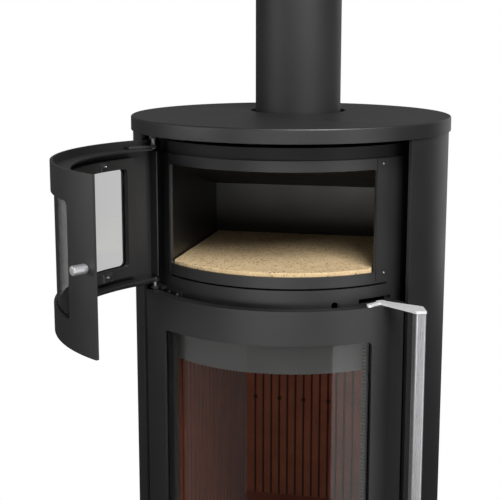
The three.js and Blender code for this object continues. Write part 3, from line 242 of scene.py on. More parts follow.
def brushing_group():
    """Fine parallel scratches up and down a brushed metal surface."""
    tree = new_group(
        "Brushing",
        [
            ("Dark", COLOUR, (0.5, 0.5, 0.52, 1)),
            ("Light", COLOUR, (0.7, 0.7, 0.71, 1)),
            ("Smooth", NUMBER, 0.22),
            ("Rough", NUMBER, 0.42),
        ],
        [("Color", COLOUR), ("Roughness", NUMBER), ("Height", NUMBER)],
    )
    given = add_node(tree, "NodeGroupInput").outputs
    result = add_node(tree, "NodeGroupOutput").inputs
    stretch = add_node(tree, "ShaderNodeMapping")
    stretch.inputs["Scale"].default_value = (1.0, 1.0, 0.012)
    wire(tree, object_coordinates(tree), stretch.inputs["Vector"])
    scratches = noise(tree, stretch.outputs[0], 2600.0, 3.0, 0.7)
    bands = noise(tree, stretch.outputs[0], 260.0, 2.0)
    share = maths(tree, "MULTIPLY", maths(tree, "ADD", scratches, bands), 0.5)
    share = ranged(tree, share, 0.35, 0.65, 0.0, 1.0)
    wire(tree, blend_colours(tree, share, given["Dark"], given["Light"]), result["Color"])
    gloss = ranged(tree, scratches, 0.3, 0.7, given["Smooth"], given["Rough"])
    wire(tree, gloss, result["Roughness"])
    wire(tree, scratches, result["Height"])
    return tree


def speckle_group():
    """Small dark grains scattered through a pale body, as in refractory stone."""
    tree = new_group(
        "Speckle",
        [
            ("Color", COLOUR, (0.6, 0.5, 0.3, 1)),
            ("Grain color", COLOUR, (0.1, 0.06, 0.03, 1)),
            ("Grains per metre", NUMBER, 420.0),
            ("Grain size", NUMBER, 0.3),
        ],
        [("Color", COLOUR), ("Grains", NUMBER)],
    )
    given = add_node(tree, "NodeGroupInput").outputs
    result = add_node(tree, "NodeGroupOutput").inputs
    cells = add_node(tree, "ShaderNodeTexVoronoi", feature="F1")
    wire(tree, object_coordinates(tree), cells.inputs["Vector"])
    wire(tree, given["Grains per metre"], cells.inputs["Scale"])
    pick = add_node(tree, "ShaderNodeSeparateColor")
    wire(tree, cells.outputs["Color"], pick.inputs[0])
    reach = maths(tree, "MULTIPLY", given["Grain size"], pick.outputs["Red"])
    inside = maths(tree, "LESS_THAN", cells.outputs["Distance"], reach)
    chosen = maths(tree, "GREATER_THAN", pick.outputs["Green"], 0.55)
    grains = maths(tree, "MULTIPLY", inside, chosen)
    soft = maths(tree, "MULTIPLY", grains, ranged(tree, pick.outputs["Blue"], 0.0, 1.0, 0.35, 1.0))
    wire(tree, blend_colours(tree, soft, given["Color"], given["Grain color"]), result["Color"])
    wire(tree, grains, result["Grains"])
    return tree


MOTTLE = mottle_group()
BRUSHING = brushing_group()
SPECKLE = speckle_group()


# ---- Materials -----------------------------------------------------------------------------------


def new_material(name, **plain):
    material = bpy.data.materials.new(name)
    material.use_nodes = True
    shader = material.node_tree.nodes["Principled BSDF"]
    for socket, value in plain.items():
        shader.inputs[socket.replace("_", " ")].default_value = value
    return material, material.node_tree, shader


def use_group(tree, group, **values):
    made = add_node(tree, "ShaderNodeGroup", node_tree=group)
    for label, value in values.items():
        made.inputs[label.replace("_", " ")].default_value = value
    return made


def bumped(tree, shader, height, strength, distance):
    bump = add_node(tree, "ShaderNodeBump")
    bump.inputs["Strength"].default_value = strength
    bump.inputs["Distance"].default_value = distance
    wire(tree, height, bump.inputs["Height"])
    wire(tree, bump.outputs[0], shader.inputs["Normal"])


def mottled(name, dark, light, patches, grains, smooth, rough, relief, **plain):
    """A material whose colour and gloss vary in patches, over a fine grain of some relief."""
    material, tree, shader = new_material(name, **plain)
    made = use_group(
        tree,
        MOTTLE,
        Dark=(*dark, 1),
        Light=(*light, 1),
        Patches_per_metre=patches,
        Grains_per_metre=grains,
        Grain_share=0.4,
        Smooth=smooth,
        Rough=rough,
    )
    wire(tree, made.outputs["Color"], shader.inputs["Base Color"])
    wire(tree, made.outputs["Roughness"], shader.inputs["Roughness"])
    bumped(tree, shader, made.outputs["Height"], relief, 0.2 * MM)
    return material


def stove_paint(name):
    return mottled(
        name,
        dark=(0.006, 0.0061, 0.0063),
        light=(0.01, 0.0101, 0.0103),
        patches=7.0,
        grains=1800.0,
        smooth=0.44,
        rough=0.52,
        relief=0.16,
        Specular_IOR_Level=0.9,
    )


def lit_band_painted(material, bottom, top, pale):
    """Paints light onto the paint between two heights: a paler band standing in for the light that
    falls on it through the fire door's glass.
    """
    tree = material.node_tree
    colour = tree.nodes["Principled BSDF"].inputs["Base Color"]
    place = add_node(tree, "ShaderNodeSeparateXYZ")
    wire(tree, object_coordinates(tree), place.inputs[0])
    fade = 10 * MM
    above = ranged(tree, place.outputs["Z"], bottom - fade, bottom, 0.0, 1.0)
    below = ranged(tree, place.outputs["Z"], top - fade, top, 1.0, 0.0)
    # Share of painted light, full between the two heights and fading at their edges
    painted_light_share = maths(tree, "MULTIPLY", above, below)
    # The painted light is added to the paint's own mottled colour
    wire(tree, blend_colours(tree, painted_light_share, colour.links[0].from_socket, pale, "ADD"), colour)
    return material


def brushed_metal(name, dark, light, smooth, rough, metallic):
    material, tree, shader = new_material(name, Metallic=metallic)
    made = use_group(tree, BRUSHING, Dark=(*dark, 1), Light=(*light, 1), Smooth=smooth, Rough=rough)
    wire(tree, made.outputs["Color"], shader.inputs["Base Color"])
    wire(tree, made.outputs["Roughness"], shader.inputs["Roughness"])
    bumped(tree, shader, made.outputs["Height"], 0.12, 0.05 * MM)
    return material


def stone_material():
    """Pale refractory slab with a sandy, patchy face and dark grains."""
    material, tree, shader = new_material("Baking stone", Specular_IOR_Level=0.25)
    patches = use_group(
        tree,
        MOTTLE,
        Dark=(0.47, 0.335, 0.185, 1),
        Light=(0.78, 0.59, 0.345, 1),
        Patches_per_metre=60.0,
        Grains_per_metre=420.0,
        Grain_share=0.6,
        Smooth=0.8,
        Rough=0.95,
    )
    grains = use_group(
        tree, SPECKLE, Grain_color=(0.09, 0.05, 0.025, 1), Grains_per_metre=300.0, Grain_size=0.55
    )
    wire(tree, patches.outputs["Color"], grains.inputs["Color"])
    wire(tree, grains.outputs["Color"], shader.inputs["Base Color"])
    wire(tree, patches.outputs["Roughness"], shader.inputs["Roughness"])
    bumped(tree, shader, patches.outputs["Height"], 0.35, 0.3 * MM)
    return material


def brick_material():
    """Reddish-brown fired lining with dark flecks, and painted shade in its flutes."""
    material, tree, shader = new_material("Fired brick", Specular_IOR_Level=0.2)
    patches = use_group(
        tree,
        MOTTLE,
        Dark=(0.22, 0.062, 0.032, 1),
        Light=(0.36, 0.11, 0.056, 1),
        Patches_per_metre=26.0,
        Grains_per_metre=700.0,
        Grain_share=0.45,
        Smooth=0.8,
        Rough=0.95,
    )
    grains = use_group(
        tree, SPECKLE, Grain_color=(0.05, 0.022, 0.015, 1), Grains_per_metre=260.0, Grain_size=0.25
    )
    wire(tree, patches.outputs["Color"], grains.inputs["Color"])
    # Painted shade: the marked flutes and small holes are darkened, as if in shadow
    flute_shade = add_node(tree, "ShaderNodeAttribute", attribute_name="Flute shade").outputs["Fac"]
    flute_shaded_colour = blend_colours(tree, flute_shade, grains.outputs["Color"], (0.04, 0.015, 0.01, 1))
    wire(tree, flute_shaded_colour, shader.inputs["Base Color"])
    wire(tree, patches.outputs["Roughness"], shader.inputs["Roughness"])
    bumped(tree, shader, patches.outputs["Height"], 0.4, 0.4 * MM)
    return material


def glass_material(name, tint):
    """Ceramic glass with faint smears."""
    material, tree, shader = new_material(
        name, Base_Color=(*tint, 1), IOR=1.38, Transmission_Weight=1.0
    )
    smears = noise(tree, object_coordinates(tree), 14.0, 5.0)
    wire(tree, ranged(tree, smears, 0.45, 0.75, 0.0, 0.035), shader.inputs["Roughness"])
    return material


def rope_material():
    """Grey braided fibre rope."""
    material, tree, shader = new_material("Sealing rope", Specular_IOR_Level=0.15)
    place = object_coordinates(tree)
    strands = add_node(tree, "ShaderNodeTexWave", bands_direction="DIAGONAL")
    strands.inputs["Scale"].default_value = 110.0
    strands.inputs["Distortion"].default_value = 1.5
    strands.inputs["Detail"].default_value = 2.0
    wire(tree, place, strands.inputs["Vector"])
    shade = maths(tree, "MULTIPLY", strands.outputs["Fac"], noise(tree, place, 500.0))
    shade = ranged(tree, shade, 0.05, 0.55, 0.0, 1.0)
    fibre = blend_colours(tree, shade, (0.02, 0.019, 0.017, 1), (0.13, 0.12, 0.11, 1))
    wire(tree, fibre, shader.inputs["Base Color"])
    wire(tree, ranged(tree, shade, 0.0, 1.0, 0.85, 1.0), shader.inputs["Roughness"])
    bumped(tree, shader, strands.outputs["Fac"], 0.8, 1.0 * MM)
    return material


paint = stove_paint("Black stove paint")
# The fascia gets painted light: a pale colour added in the band behind the fire door's glass
fascia_paint = lit_band_painted(
    stove_paint("Fascia paint"),
    bottom=FIRE_OPENING[1] - 4 * MM,
    top=FIRE_DOOR_TOP - 30 * MM,
    pale=(0.06, 0.06, 0.06, 1),
)
flue_paint = mottled(
    "Flue paint",
    dark=(0.016, 0.016, 0.0162),
    light=(0.024, 0.024, 0.0243),
    patches=8.0,
    grains=1300.0,
    smooth=0.48,
    rough=0.58,
    relief=0.3,
)
chamber_paint = mottled(
    "Inner steel paint",
    dark=(0.005, 0.005, 0.0052),
    light=(0.009, 0.0091, 0.0093),
    patches=10.0,
    grains=1200.0,
    smooth=0.5,
    rough=0.62,
    relief=0.22,
)
oven_paint = mottled(
    "Oven steel paint",
    dark=(0.007, 0.007, 0.007),
    light=(0.012, 0.012, 0.0119),
    patches=10.0,
    grains=1200.0,
    smooth=0.34,
    rough=0.44,
    relief=0.22,
    Specular_IOR_Level=0.75,
)
cast_iron = mottled(
    "Cast iron",
    dark=(0.018, 0.016, 0.015),
    light=(0.04, 0.036, 0.033),
    patches=40.0,
    grains=600.0,
    smooth=0.7,
    rough=0.9,
    relief=0.7,
    Metallic=0.4,
)
zinc = mottled(
    "Zinc plating",
    dark=(0.2, 0.2, 0.205),
    light=(0.34, 0.34, 0.35),
    patches=120.0,
    grains=900.0,
    smooth=0.3,
    rough=0.45,
    relief=0.2,
    Metallic=1.0,
)
stainless = brushed_metal(
    "Brushed stainless",
    dark=(0.56, 0.56, 0.575),
    light=(0.7, 0.7, 0.715),
    smooth=0.24,
    rough=0.4,
    metallic=0.78,
)
# Plated metal made near-white and mostly not metallic: painted reflection, standing in for the
# bright reflection on the latch arms' tops
plating = brushed_metal(
    "Plating with painted reflection",
    dark=(0.76, 0.76, 0.77),
    light=(0.9, 0.9, 0.91),
    smooth=0.3,
    rough=0.45,
    metallic=0.35,
)
stone = stone_material()
brick = brick_material()
oven_glass = glass_material("Oven door glass", (0.54, 0.545, 0.54))
fire_glass = glass_material("Fire door glass", (0.8, 0.8, 0.79))
rope = rope_material()

SLOT_FINISH = {
    "black_steel": paint,
    "flue_steel": flue_paint,
    "inner_steel": chamber_paint,
    "cast_iron": cast_iron,
    "firebrick": brick,
    "baking_stone": stone,
    "glass": fire_glass,
    "brushed": stainless,
    "zinc": zinc,
    "rope": rope,
}
for cad_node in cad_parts.values():
    for place, material in enumerate(cad_node.data.materials):
        cad_node.data.materials[place] = SLOT_FINISH.get(material.name.split(".")[0], paint)


# ---- Making pieces -------------------------------------------------------------------------------


def finished(name, bm, body, material, nodes=(), smooth_below=40):
    """Turns the modelled shape into a piece that rides its body, with soft-shaded curves."""
    mesh = bpy.data.meshes.new(name)
    bm.to_mesh(mesh)
    bm.free()
    mesh.shade_smooth()
    mesh.set_sharp_from_angle(angle=math.radians(smooth_below))
    piece = bpy.data.objects.new(name, mesh)
    scene.collection.objects.link(piece)
    piece.data.materials.append(material)
    even = piece.modifiers.new("Even shading", "WEIGHTED_NORMAL")
    even.keep_sharp = True
    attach(piece, body)
    if nodes:
        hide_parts(*nodes)


def sharp_edges(bm, degrees=60):
    return [
        edge
        for edge in bm.edges
        if len(edge.link_faces) == 2 and edge.calc_face_angle(0) > math.radians(degrees)
    ]


def softened(bm, width, segments=2, degrees=60):
    bmesh.ops.bevel(
        bm,
        geom=sharp_edges(bm, degrees),
        offset=width,
        offset_type="OFFSET",
        segments=segments,
        profile=0.5,
        affect="EDGES",
        material=-1,
        clamp_overlap=True,
    )


def moved(bm, matrix):
    bmesh.ops.transform(bm, matrix=matrix, verts=bm.verts)


def about(point, degrees):
    """A turn about a vertical line through a point."""
    place = Matrix.Translation(Vector((point[0], point[1], 0)))
    return place @ Matrix.Rotation(math.radians(degrees), 4, "Z") @ place.inverted()


def outline(bm, left, right, bottom, top, depth, corner):
    """A flat rectangular outline at a depth behind the sheet's face, with round corners."""
    edges_before = set(bm.edges)
    faces_before = set(bm.faces)
    corners = ((left, bottom), (right, bottom), (right, top), (left, top))
    face = bm.faces.new([bm.verts.new((x, depth, z)) for x, z in corners])
    if corner:
        bmesh.ops.bevel(
            bm,
            geom=face.verts[:],
            offset=corner,
            offset_type="OFFSET",
            segments=6,
            profile=0.5,
            affect="VERTICES",
            material=-1,
        )
    new_faces = [face for face in bm.faces if face not in faces_before]
    bmesh.ops.delete(bm, geom=new_faces, context="FACES_ONLY")
    return [edge for edge in bm.edges if edge not in edges_before]


def fill(bm, *loops):
    edges = [edge for loop in loops for edge in loop]
    bmesh.ops.triangle_fill(bm, use_beauty=True, use_dissolve=False, edges=edges)


def wall(bm, one, other):
    bmesh.ops.bridge_loops(bm, edges=one + other)


def roll(bm, radius, left, right):
    """Bends a flat sheet round the stove's axis, after bend lines are scored into it."""
    steps = max(2, round(abs(math.degrees((right - left) / radius)) / ROLL_STEP))
    for step in range(1, steps):
        bmesh.ops.bisect_plane(
            bm,
            geom=bm.verts[:] + bm.edges[:] + bm.faces[:],
            dist=SAME_PLACE,
            plane_co=(left + (right - left) * step / steps, 0, 0),
            plane_no=(1, 0, 0),
        )
    for vertex in bm.verts:
        x, depth, z = vertex.co
        vertex.co = polar(radius - depth, math.degrees(x / radius), z)


def rolled_sheet(radius, thickness, left, right, bottom, top, windows=(), corner=0.0, edge=EDGE):
    """A curved sheet between two angles.

    Each of its windows is given as (left, right, bottom, top, corner).
    """
    bm = bmesh.new()
    scale = math.radians(1) * radius
    faces = []
    for depth in (0, thickness):
        border = outline(bm, left * scale, right * scale, bottom, top, depth, corner)
        holes = [
            outline(bm, w_left * scale, w_right * scale, w_bottom, w_top, depth, w_corner)
            for w_left, w_right, w_bottom, w_top, w_corner in windows
        ]
        fill(bm, border, *holes)
        faces.append([border, *holes])
    for front, back in zip(*faces):
        wall(bm, front, back)
    bmesh.ops.recalc_face_normals(bm, faces=bm.faces)
    softened(bm, edge)
    roll(bm, radius, left * scale, right * scale)
    return bm


def door_skin(left, right, bottom, top, windows):
    return rolled_sheet(
        BODY_RADIUS, DOOR_SHEET, left, right, bottom, top, windows, SHEET_CORNER, DOOR_EDGE
    )


def door_pan(left, right, bottom, top, windows=(), gap=None):
    """A door's curved sheet with its edges folded back, clear of hinge pins and latch rod."""
    inner = BODY_RADIUS - FOLD_START
    depth = FOLD_DEPTH - FOLD_START
    fold, inset = FOLD_SHEET, FOLD_INSET
    free = right - FREE_EDGE_INSET
    spans = [(left + PIN_ROOM, free)]
    if gap:
        spans = [(left + PIN_ROOM, gap - ROD_ROOM), (gap + ROD_ROOM, free)]
    parts = [door_skin(left, right, bottom, top, windows)]
    for start, end in spans:
        parts.append(rolled_sheet(inner, depth, start, end, top - fold, top - inset))
        parts.append(rolled_sheet(inner, depth, start, end, bottom + inset, bottom + fold))
    parts.append(
        rolled_sheet(inner, depth, right - FOLD_ANGLE, free, bottom + fold, top - fold)
    )
    parts.append(hinge_fold(left, bottom, top))
    return joined(*parts)


def hinge_fold(left, bottom, top):
    """The deeper fold down a door's hinge side, clear of the pins at its ends."""
    return rolled_sheet(
        BODY_RADIUS - FOLD_START,
        HINGE_FOLD_DEPTH - FOLD_START,
        left + HINGE_EDGE_INSET,
        left + FOLD_ANGLE,
        bottom + HINGE_POCKET,
        top - HINGE_POCKET,
    )


def oven_door_pan(windows):
    """The oven door's curved sheet with its hinge side folded and two shelves inside it."""
    left, bottom, top = OVEN_DOOR_LEFT, OVEN_DOOR_BOTTOM, OVEN_DOOR_TOP
    inner = BODY_RADIUS - FOLD_START
    clearance = 2 * MM
    reach = inner - FASCIA_RADIUS - clearance
    inset, shelf_end = 12 * MM, 44
    parts = [door_skin(left, DOOR_RIGHT, bottom, top, windows), hinge_fold(left, bottom, top)]
    for z in (bottom + inset, top - inset - FOLD_SHEET):
        parts.append(rolled_sheet(inner, reach, left + PIN_ROOM, shelf_end, z, z + FOLD_SHEET))
    return joined(*parts)


def turned(profile, steps=48):
    """A shape turned on a lathe about the vertical axis, from (radius, height) points."""
    bm = bmesh.new()
    points = [bm.verts.new((radius, 0, height)) for radius, height in profile]
    edges = [bm.edges.new(pair) for pair in zip(points, points[1:])]
    bmesh.ops.spin(
        bm,
        geom=points + edges,
        cent=(0, 0, 0),
        axis=(0, 0, 1),
        angle=math.tau,
        steps=steps,
        use_merge=True,
    )
    bmesh.ops.remove_doubles(bm, verts=bm.verts, dist=SAME_PLACE)
    bmesh.ops.recalc_face_normals(bm, faces=bm.faces)
    return bm


def pointing(direction, place):
    """Turns +Z to a direction, and moves the origin to a place."""
    turn = Vector((0, 0, 1)).rotation_difference(Vector(direction)).to_matrix().to_4x4()
    return Matrix.Translation(place) @ turn


def joined(*parts):
    """Several separate shapes in one mesh."""
    whole = bmesh.new()
    for part in parts:
        mesh = bpy.data.meshes.new("part")
        part.to_mesh(mesh)
        part.free()
        whole.from_mesh(mesh)
        bpy.data.meshes.remove(mesh)
    return whole


def mark_flute_shade(bm, widest=3.5 * MM):
    """Marks the flutes and small holes of a shape, which get painted shade."""
    layer = bm.loops.layers.float_color.new("Flute shade")
    for face in bm.faces:
        places = [vertex.co for vertex in face.verts]
        tall, across = (
            max(place[axis] for place in places) - min(place[axis] for place in places)
            for axis in (2, 0)
        )
        fluted = tall > 0.1 and face.calc_area() / tall < widest
        dark = 1.0 if fluted or max(tall, across) < 2 * widest else 0.0
        for loop in face.loops:
            loop[layer] = (dark, dark, dark, 1)


def refined(node, body, material, edge=0.6 * MM, segments=2, smooth_below=40):
    """A CAD node's own shape, with its facets joined, its edges rounded and its curves shaded."""
    bm = bmesh.new()
    bm.from_mesh(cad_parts[node].data)
    bmesh.ops.remove_doubles(bm, verts=bm.verts, dist=SAME_PLACE)
    if edge:
        bmesh.ops.dissolve_limit(
            bm,
            angle_limit=math.radians(FLAT_ANGLE),
            verts=bm.verts,
            edges=bm.edges,
            use_dissolve_boundaries=False,
        )
        softened(bm, edge, segments, FACET_ANGLE)
    # Bricks get painted shade in their flutes and small holes
    if material == brick:
        mark_flute_shade(bm)
    finished(node + "_shape", bm, body, material, [node], smooth_below)


# ---- Casing --------------------------------------------------------------------------------------


def side_panel(side):
    """A side panel of the casing, rolled, with its front edge folded inwards."""
    name = "side_panel_right" if side > 0 else "side_panel_left"
    bottom, top = low(name), high(name)
    sheet = CASING_SHEET
    fold = 7 * MM
    scale = math.radians(1) * BODY_RADIUS
    front, rear = side * CASING_EDGE * scale, side * REAR_SEAM * scale
    bm = bmesh.new()
    section = (
        (front, 0),
        (rear, 0),
        (rear, sheet),
        (front + side * sheet, sheet),
        (front + side * sheet, fold),
        (front, fold),
    )
    face = bm.faces.new([bm.verts.new((x, depth, bottom)) for x, depth in section])
    raised = bmesh.ops.extrude_face_region(bm, geom=[face])
    corners = [item for item in raised["geom"] if isinstance(item, bmesh.types.BMVert)]
    bmesh.ops.translate(bm, verts=corners, vec=(0, 0, top - bottom))
    bmesh.ops.recalc_face_normals(bm, faces=bm.faces)
    softened(bm, EDGE)
    roll(bm, BODY_RADIUS, min(front, rear), max(front, rear))
    finished(name + "_sheet", bm, "casing", paint, [name])


def rear_panel():
    bottom, top = low("rear_panel"), high("rear_panel")
    vent_half, vent_height, vent_pitch, vent_margin = 15, 8 * MM, 20 * MM, 30 * MM
    vent_rise = vent_height / 2
    vent_corner = vent_height / 2.1  # just short of a half round end
    steps = [vent_margin + row * vent_pitch for row in range(4)]
    heights = [height for step in steps for height in (bottom + step, top - step)]
    vents = [
        (180 - vent_half, 180 + vent_half, z - vent_rise, z + vent_rise, vent_corner)
        for z in heights
    ]
    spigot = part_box("air_spigot")
    reach = spigot[1].x + 5 * MM
    half = math.degrees(reach / BODY_RADIUS)
    middle = (spigot[0].z + spigot[1].z) / 2
    vents.append((180 - half, 180 + half, middle - reach, middle + reach, reach * 0.98))
    seam = REAR_SEAM + 0.1
    bm = rolled_sheet(BODY_RADIUS, CASING_SHEET, seam, 360 - seam, bottom, top, vents)
    finished("rear_panel_sheet", bm, "casing", paint, ["rear_panel"])


def top_plate():
    """The round top plate with its folded rim and the flue pipe's hole."""
    rim_bottom = low("top_plate")
    fold, fold_steps = 3.2 * MM, 5
    sheet = 4 * MM
    thickness = 5 * MM
    pipe_room = 9 * MM
    sides = 144
    bm = bmesh.new()

    def ring(radius, z, centre=Vector()):
        place = Matrix.Translation(centre + Vector((0, 0, z)))
        made = bmesh.ops.create_circle(bm, segments=sides, radius=radius, matrix=place)
        return list({edge for vertex in made["verts"] for edge in vertex.link_edges})

    hole = PIPE_RADIUS + pipe_room
    turns = [math.radians(90 * step / fold_steps) for step in range(fold_steps + 1)]
    rounded = [
        ring(PLATE_RADIUS - fold * (1 - math.sin(turn)), PLATE_TOP - fold * (1 - math.cos(turn)))
        for turn in turns
    ]
    foot = ring(PLATE_RADIUS, rim_bottom)
    inner_foot = ring(PLATE_RADIUS - sheet, rim_bottom)
    under = ring(PLATE_RADIUS - sheet, PLATE_TOP - thickness)
    hole_upper = ring(hole, PLATE_TOP, PIPE_CENTRE)
    hole_lower = ring(hole, PLATE_TOP - thickness, PIPE_CENTRE)
    fill(bm, rounded[0], hole_upper)
    fill(bm, under, hole_lower)
    loops = [*rounded, foot, inner_foot, under]
    for one, other in (*zip(loops, loops[1:]), (hole_upper, hole_lower)):
        wall(bm, one, other)
    bmesh.ops.recalc_face_normals(bm, faces=bm.faces)
    finished(
        "top_plate_sheet", bm, "casing", paint, ["top_plate"], smooth_below=35
    )


def flue_pipe():
    foot, top = low("flue_pipe"), high("flue_pipe")
    wall_thickness = 2 * MM
    chamfer = 0.6 * MM
    inner = PIPE_RADIUS - wall_thickness
    profile = [
        (inner, foot),
        (PIPE_RADIUS, foot),
        (PIPE_RADIUS, top - chamfer),
        (PIPE_RADIUS - chamfer, top),
        (inner + chamfer, top),
        (inner, top - chamfer),
        (inner, foot),
    ]
    bm = turned(profile, 96)
    moved(bm, Matrix.Translation(PIPE_CENTRE))
    finished("flue_pipe_tube", bm, "casing", flue_paint, ["flue_pipe"])


side_panel(-1)
side_panel(1)
rear_panel()
top_plate()
flue_pipe()
refined("base_plate", "casing", paint)
refined("base_plinth", "casing", chamber_paint)


# ---- Jacket and fascia ---------------------------------------------------------------------------


def jacket():
    bottom, top = low("inner_jacket"), high("inner_jacket")
    half, seam = 50, 179.9
    window = (-half, half, STORE_DOOR_BOTTOM, FASCIA_TOP - 8 * MM, 2 * MM)
    bm = rolled_sheet(JACKET_RADIUS, JACKET_SHEET, -seam, seam, bottom, top, [window])
    finished("inner_jacket_sheet", bm, "casing", chamber_paint, ["inner_jacket"])


def fascia():
    """The curved front with its openings, long relief slit, latch slots and lever slot."""
    half = 58
    oven_half, fire_half, store_half = 43.9, 40.5, 42
    opening_corner = 4 * MM
    slit_top, slit_end = OVEN_OPENING[0] - 17.5 * MM, 50
    slot_low = FIRE_DOOR_BOTTOM - 5.9 * MM
    slot_high = FIRE_DOOR_TOP - 1.1 * MM
    slot_left, slot_right, slot_height = 37, 52.3, 7 * MM
    hole_middle, hole_half = 27, math.degrees(5.2 * MM / FASCIA_RADIUS)
    lever, lever_half, lever_room = (low("air_lever") + high("air_lever")) / 2, 16, 4.5 * MM
    windows = [
        (-oven_half, oven_half, *OVEN_OPENING, opening_corner),
        (-fire_half, fire_half, *FIRE_OPENING, opening_corner),
        (-store_half, store_half, *STORE_OPENING, opening_corner),
        (-oven_half, slit_end, slit_top - 3 * MM, slit_top, 0.8 * MM),
        (slot_left, slot_right, slot_high, slot_high + slot_height, SHEET_CORNER),
        (slot_left, slot_right, slot_low, slot_low + slot_height, SHEET_CORNER),
        (
            hole_middle - hole_half,
            hole_middle + hole_half,
            slot_high - 8 * MM,
            slot_high + 6 * MM,
            4.6 * MM,
        ),
        (-lever_half, lever_half, lever - lever_room, lever + lever_room, SHEET_CORNER),
    ]
    bm = rolled_sheet(
        FASCIA_RADIUS,
        FASCIA_SHEET,
        -half,
        half,
        low("front_fascia"),
        FASCIA_TOP,
        windows,
        corner=SHEET_CORNER,
        edge=0.7 * MM,
    )
    finished("front_fascia_sheet", bm, "casing", fascia_paint, ["front_fascia"])


jacket()
fascia()

# ---- Baking compartment and firebox --------------------------------------------------------------

refined("oven_box", "casing", oven_paint, edge=0, smooth_below=6)
refined("baking_stone", "casing", stone, edge=1.2 * MM, segments=3)
BRICKS = ("firebrick_left", "firebrick_right", "firebrick_back", "hearth_brick", "baffle_plate")
for brick_node in BRICKS:
    refined(brick_node, "casing", brick, edge=0.4 * MM, segments=1)
for iron_node in ("grate", "log_guard"):
    refined(iron_node, "casing", cast_iron, edge=1.5 * MM, segments=3)

# ---- Doors ---------------------------------------------------------------------------------------


def glass_pane(name, body, window, half, material, place=None):
    """A curved pane that reaches past its window on every side."""
    bottom, top = window
    rise, spread = 10 * MM, 3
    bm = rolled_sheet(
        GLASS_RADIUS,
        GLASS_THICKNESS,
        -half - spread,
        half + spread,
        bottom - rise,
        top + rise,
        corner=2 * MM,
        edge=0.6 * MM,
    )
    if place:
        moved(bm, place)
    finished(name + "_pane", bm, body, material, [name])


def window_border(radius, depth, window, half, stile, rail, edge):
    """A curved border round a window, as wide as its stiles in degrees and its rails in metres."""
    bottom, top = window
    hole = (-half, half, bottom, top, WINDOW_CORNER)
    return rolled_sheet(
        radius,
        depth,
        -half - stile,
        half + stile,
        bottom - rail,
        top + rail,
        [hole],
        corner=3 * MM,
        edge=edge,
    )


def inner_frame(window, half):
    return window_border(
        FRAME_RADIUS, FRAME_DEPTH, window, half, stile=3.5, rail=16 * MM, edge=0.8 * MM
    )


def middle_of(node):
    corner, far_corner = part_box(node)
    return (corner + far_corner) / 2


open_door = about(middle_of("hinge_pin_top"), -OVEN_DOOR_OPEN)

oven_hole = (-OVEN_WINDOW_HALF, OVEN_WINDOW_HALF, *OVEN_WINDOW, WINDOW_CORNER)
oven_shell = oven_door_pan([oven_hole])
moved(oven_shell, open_door)
finished("oven_door_sheet", oven_shell, "oven_door", paint, ["oven_door_shell"])
glass_pane("oven_door_glass", "oven_door", OVEN_WINDOW, OVEN_WINDOW_HALF, oven_glass, open_door)
oven_frame = inner_frame(OVEN_WINDOW, OVEN_WINDOW_HALF)
moved(oven_frame, open_door)
finished(
    "oven_door_frame_shape", oven_frame, "oven_door", paint, ["oven_door_frame"]
)

fire_hole = (-FIRE_WINDOW_HALF, FIRE_WINDOW_HALF, *FIRE_WINDOW, WINDOW_CORNER)
fire_shell = door_pan(
    FIRE_DOOR_LEFT, DOOR_RIGHT, FIRE_DOOR_BOTTOM, FIRE_DOOR_TOP, [fire_hole], LATCH_ANGLE
)
finished("fire_door_sheet", fire_shell, "fire_door", paint, ["fire_door_shell"])
glass_pane("fire_door_glass", "fire_door", FIRE_WINDOW, FIRE_WINDOW_HALF, fire_glass)
fire_frame = inner_frame(FIRE_WINDOW, FIRE_WINDOW_HALF)
finished(
    "fire_door_frame_shape",
    fire_frame,
    "fire_door",
    chamber_paint,
    ["fire_door_frame"],
)
seal = window_border(
    SEAL_RADIUS,
    SEAL_DEPTH,
    FIRE_WINDOW,
    FIRE_WINDOW_HALF,
    stile=1.8,
    rail=8 * MM,
    edge=3 * MM,
)
finished("fire_door_seal_shape", seal, "fire_door", rope, ["fire_door_seal"])

store_shell = door_pan(FIRE_DOOR_LEFT, DOOR_RIGHT, STORE_DOOR_BOTTOM, STORE_DOOR_TOP)
finished("lower_door_sheet", store_shell, "lower_door", paint, ["lower_door_shell"])


# ---- Knobs, handle and fittings ------------------------------------------------------------------


def knob(node, body, start, direction):
    """A round polished knob with a chamfered end and a groove at its foot."""
    radius, length = 6.5 * MM, 22 * MM
    profile = [
        (0, 0),
        (radius - 1 * MM, 0),
        (radius - 1 * MM, 1.5 * MM),
        (radius - 0.3 * MM, 1.8 * MM),
        (radius, 2.3 * MM),
        (radius, length - 1.5 * MM),
        (radius - 0.4 * MM, length - 0.9 * MM),
        (radius - 1.5 * MM, length - 0.1 * MM),
        (radius - 2 * MM, length),
        (0, length),
    ]
    bm = turned(profile)
    moved(bm, pointing(direction, start))
    finished(node + "_turned", bm, body, stainless, [node])


def door_knob_place(height):
    """Where a knob stands on a shut door, and the way it points."""
    return polar(BODY_RADIUS + 0.3 * MM, KNOB_ANGLE, height), polar(1, KNOB_ANGLE)


oven_start, oven_way = door_knob_place(OVEN_DOOR_BOTTOM + 117.5 * MM)
knob("oven_door_knob", "oven_door", open_door @ oven_start, open_door.to_3x3() @ oven_way)
store_start, store_way = door_knob_place(STORE_DOOR_TOP - 50 * MM)
knob("lower_door_knob", "lower_door", store_start, store_way)


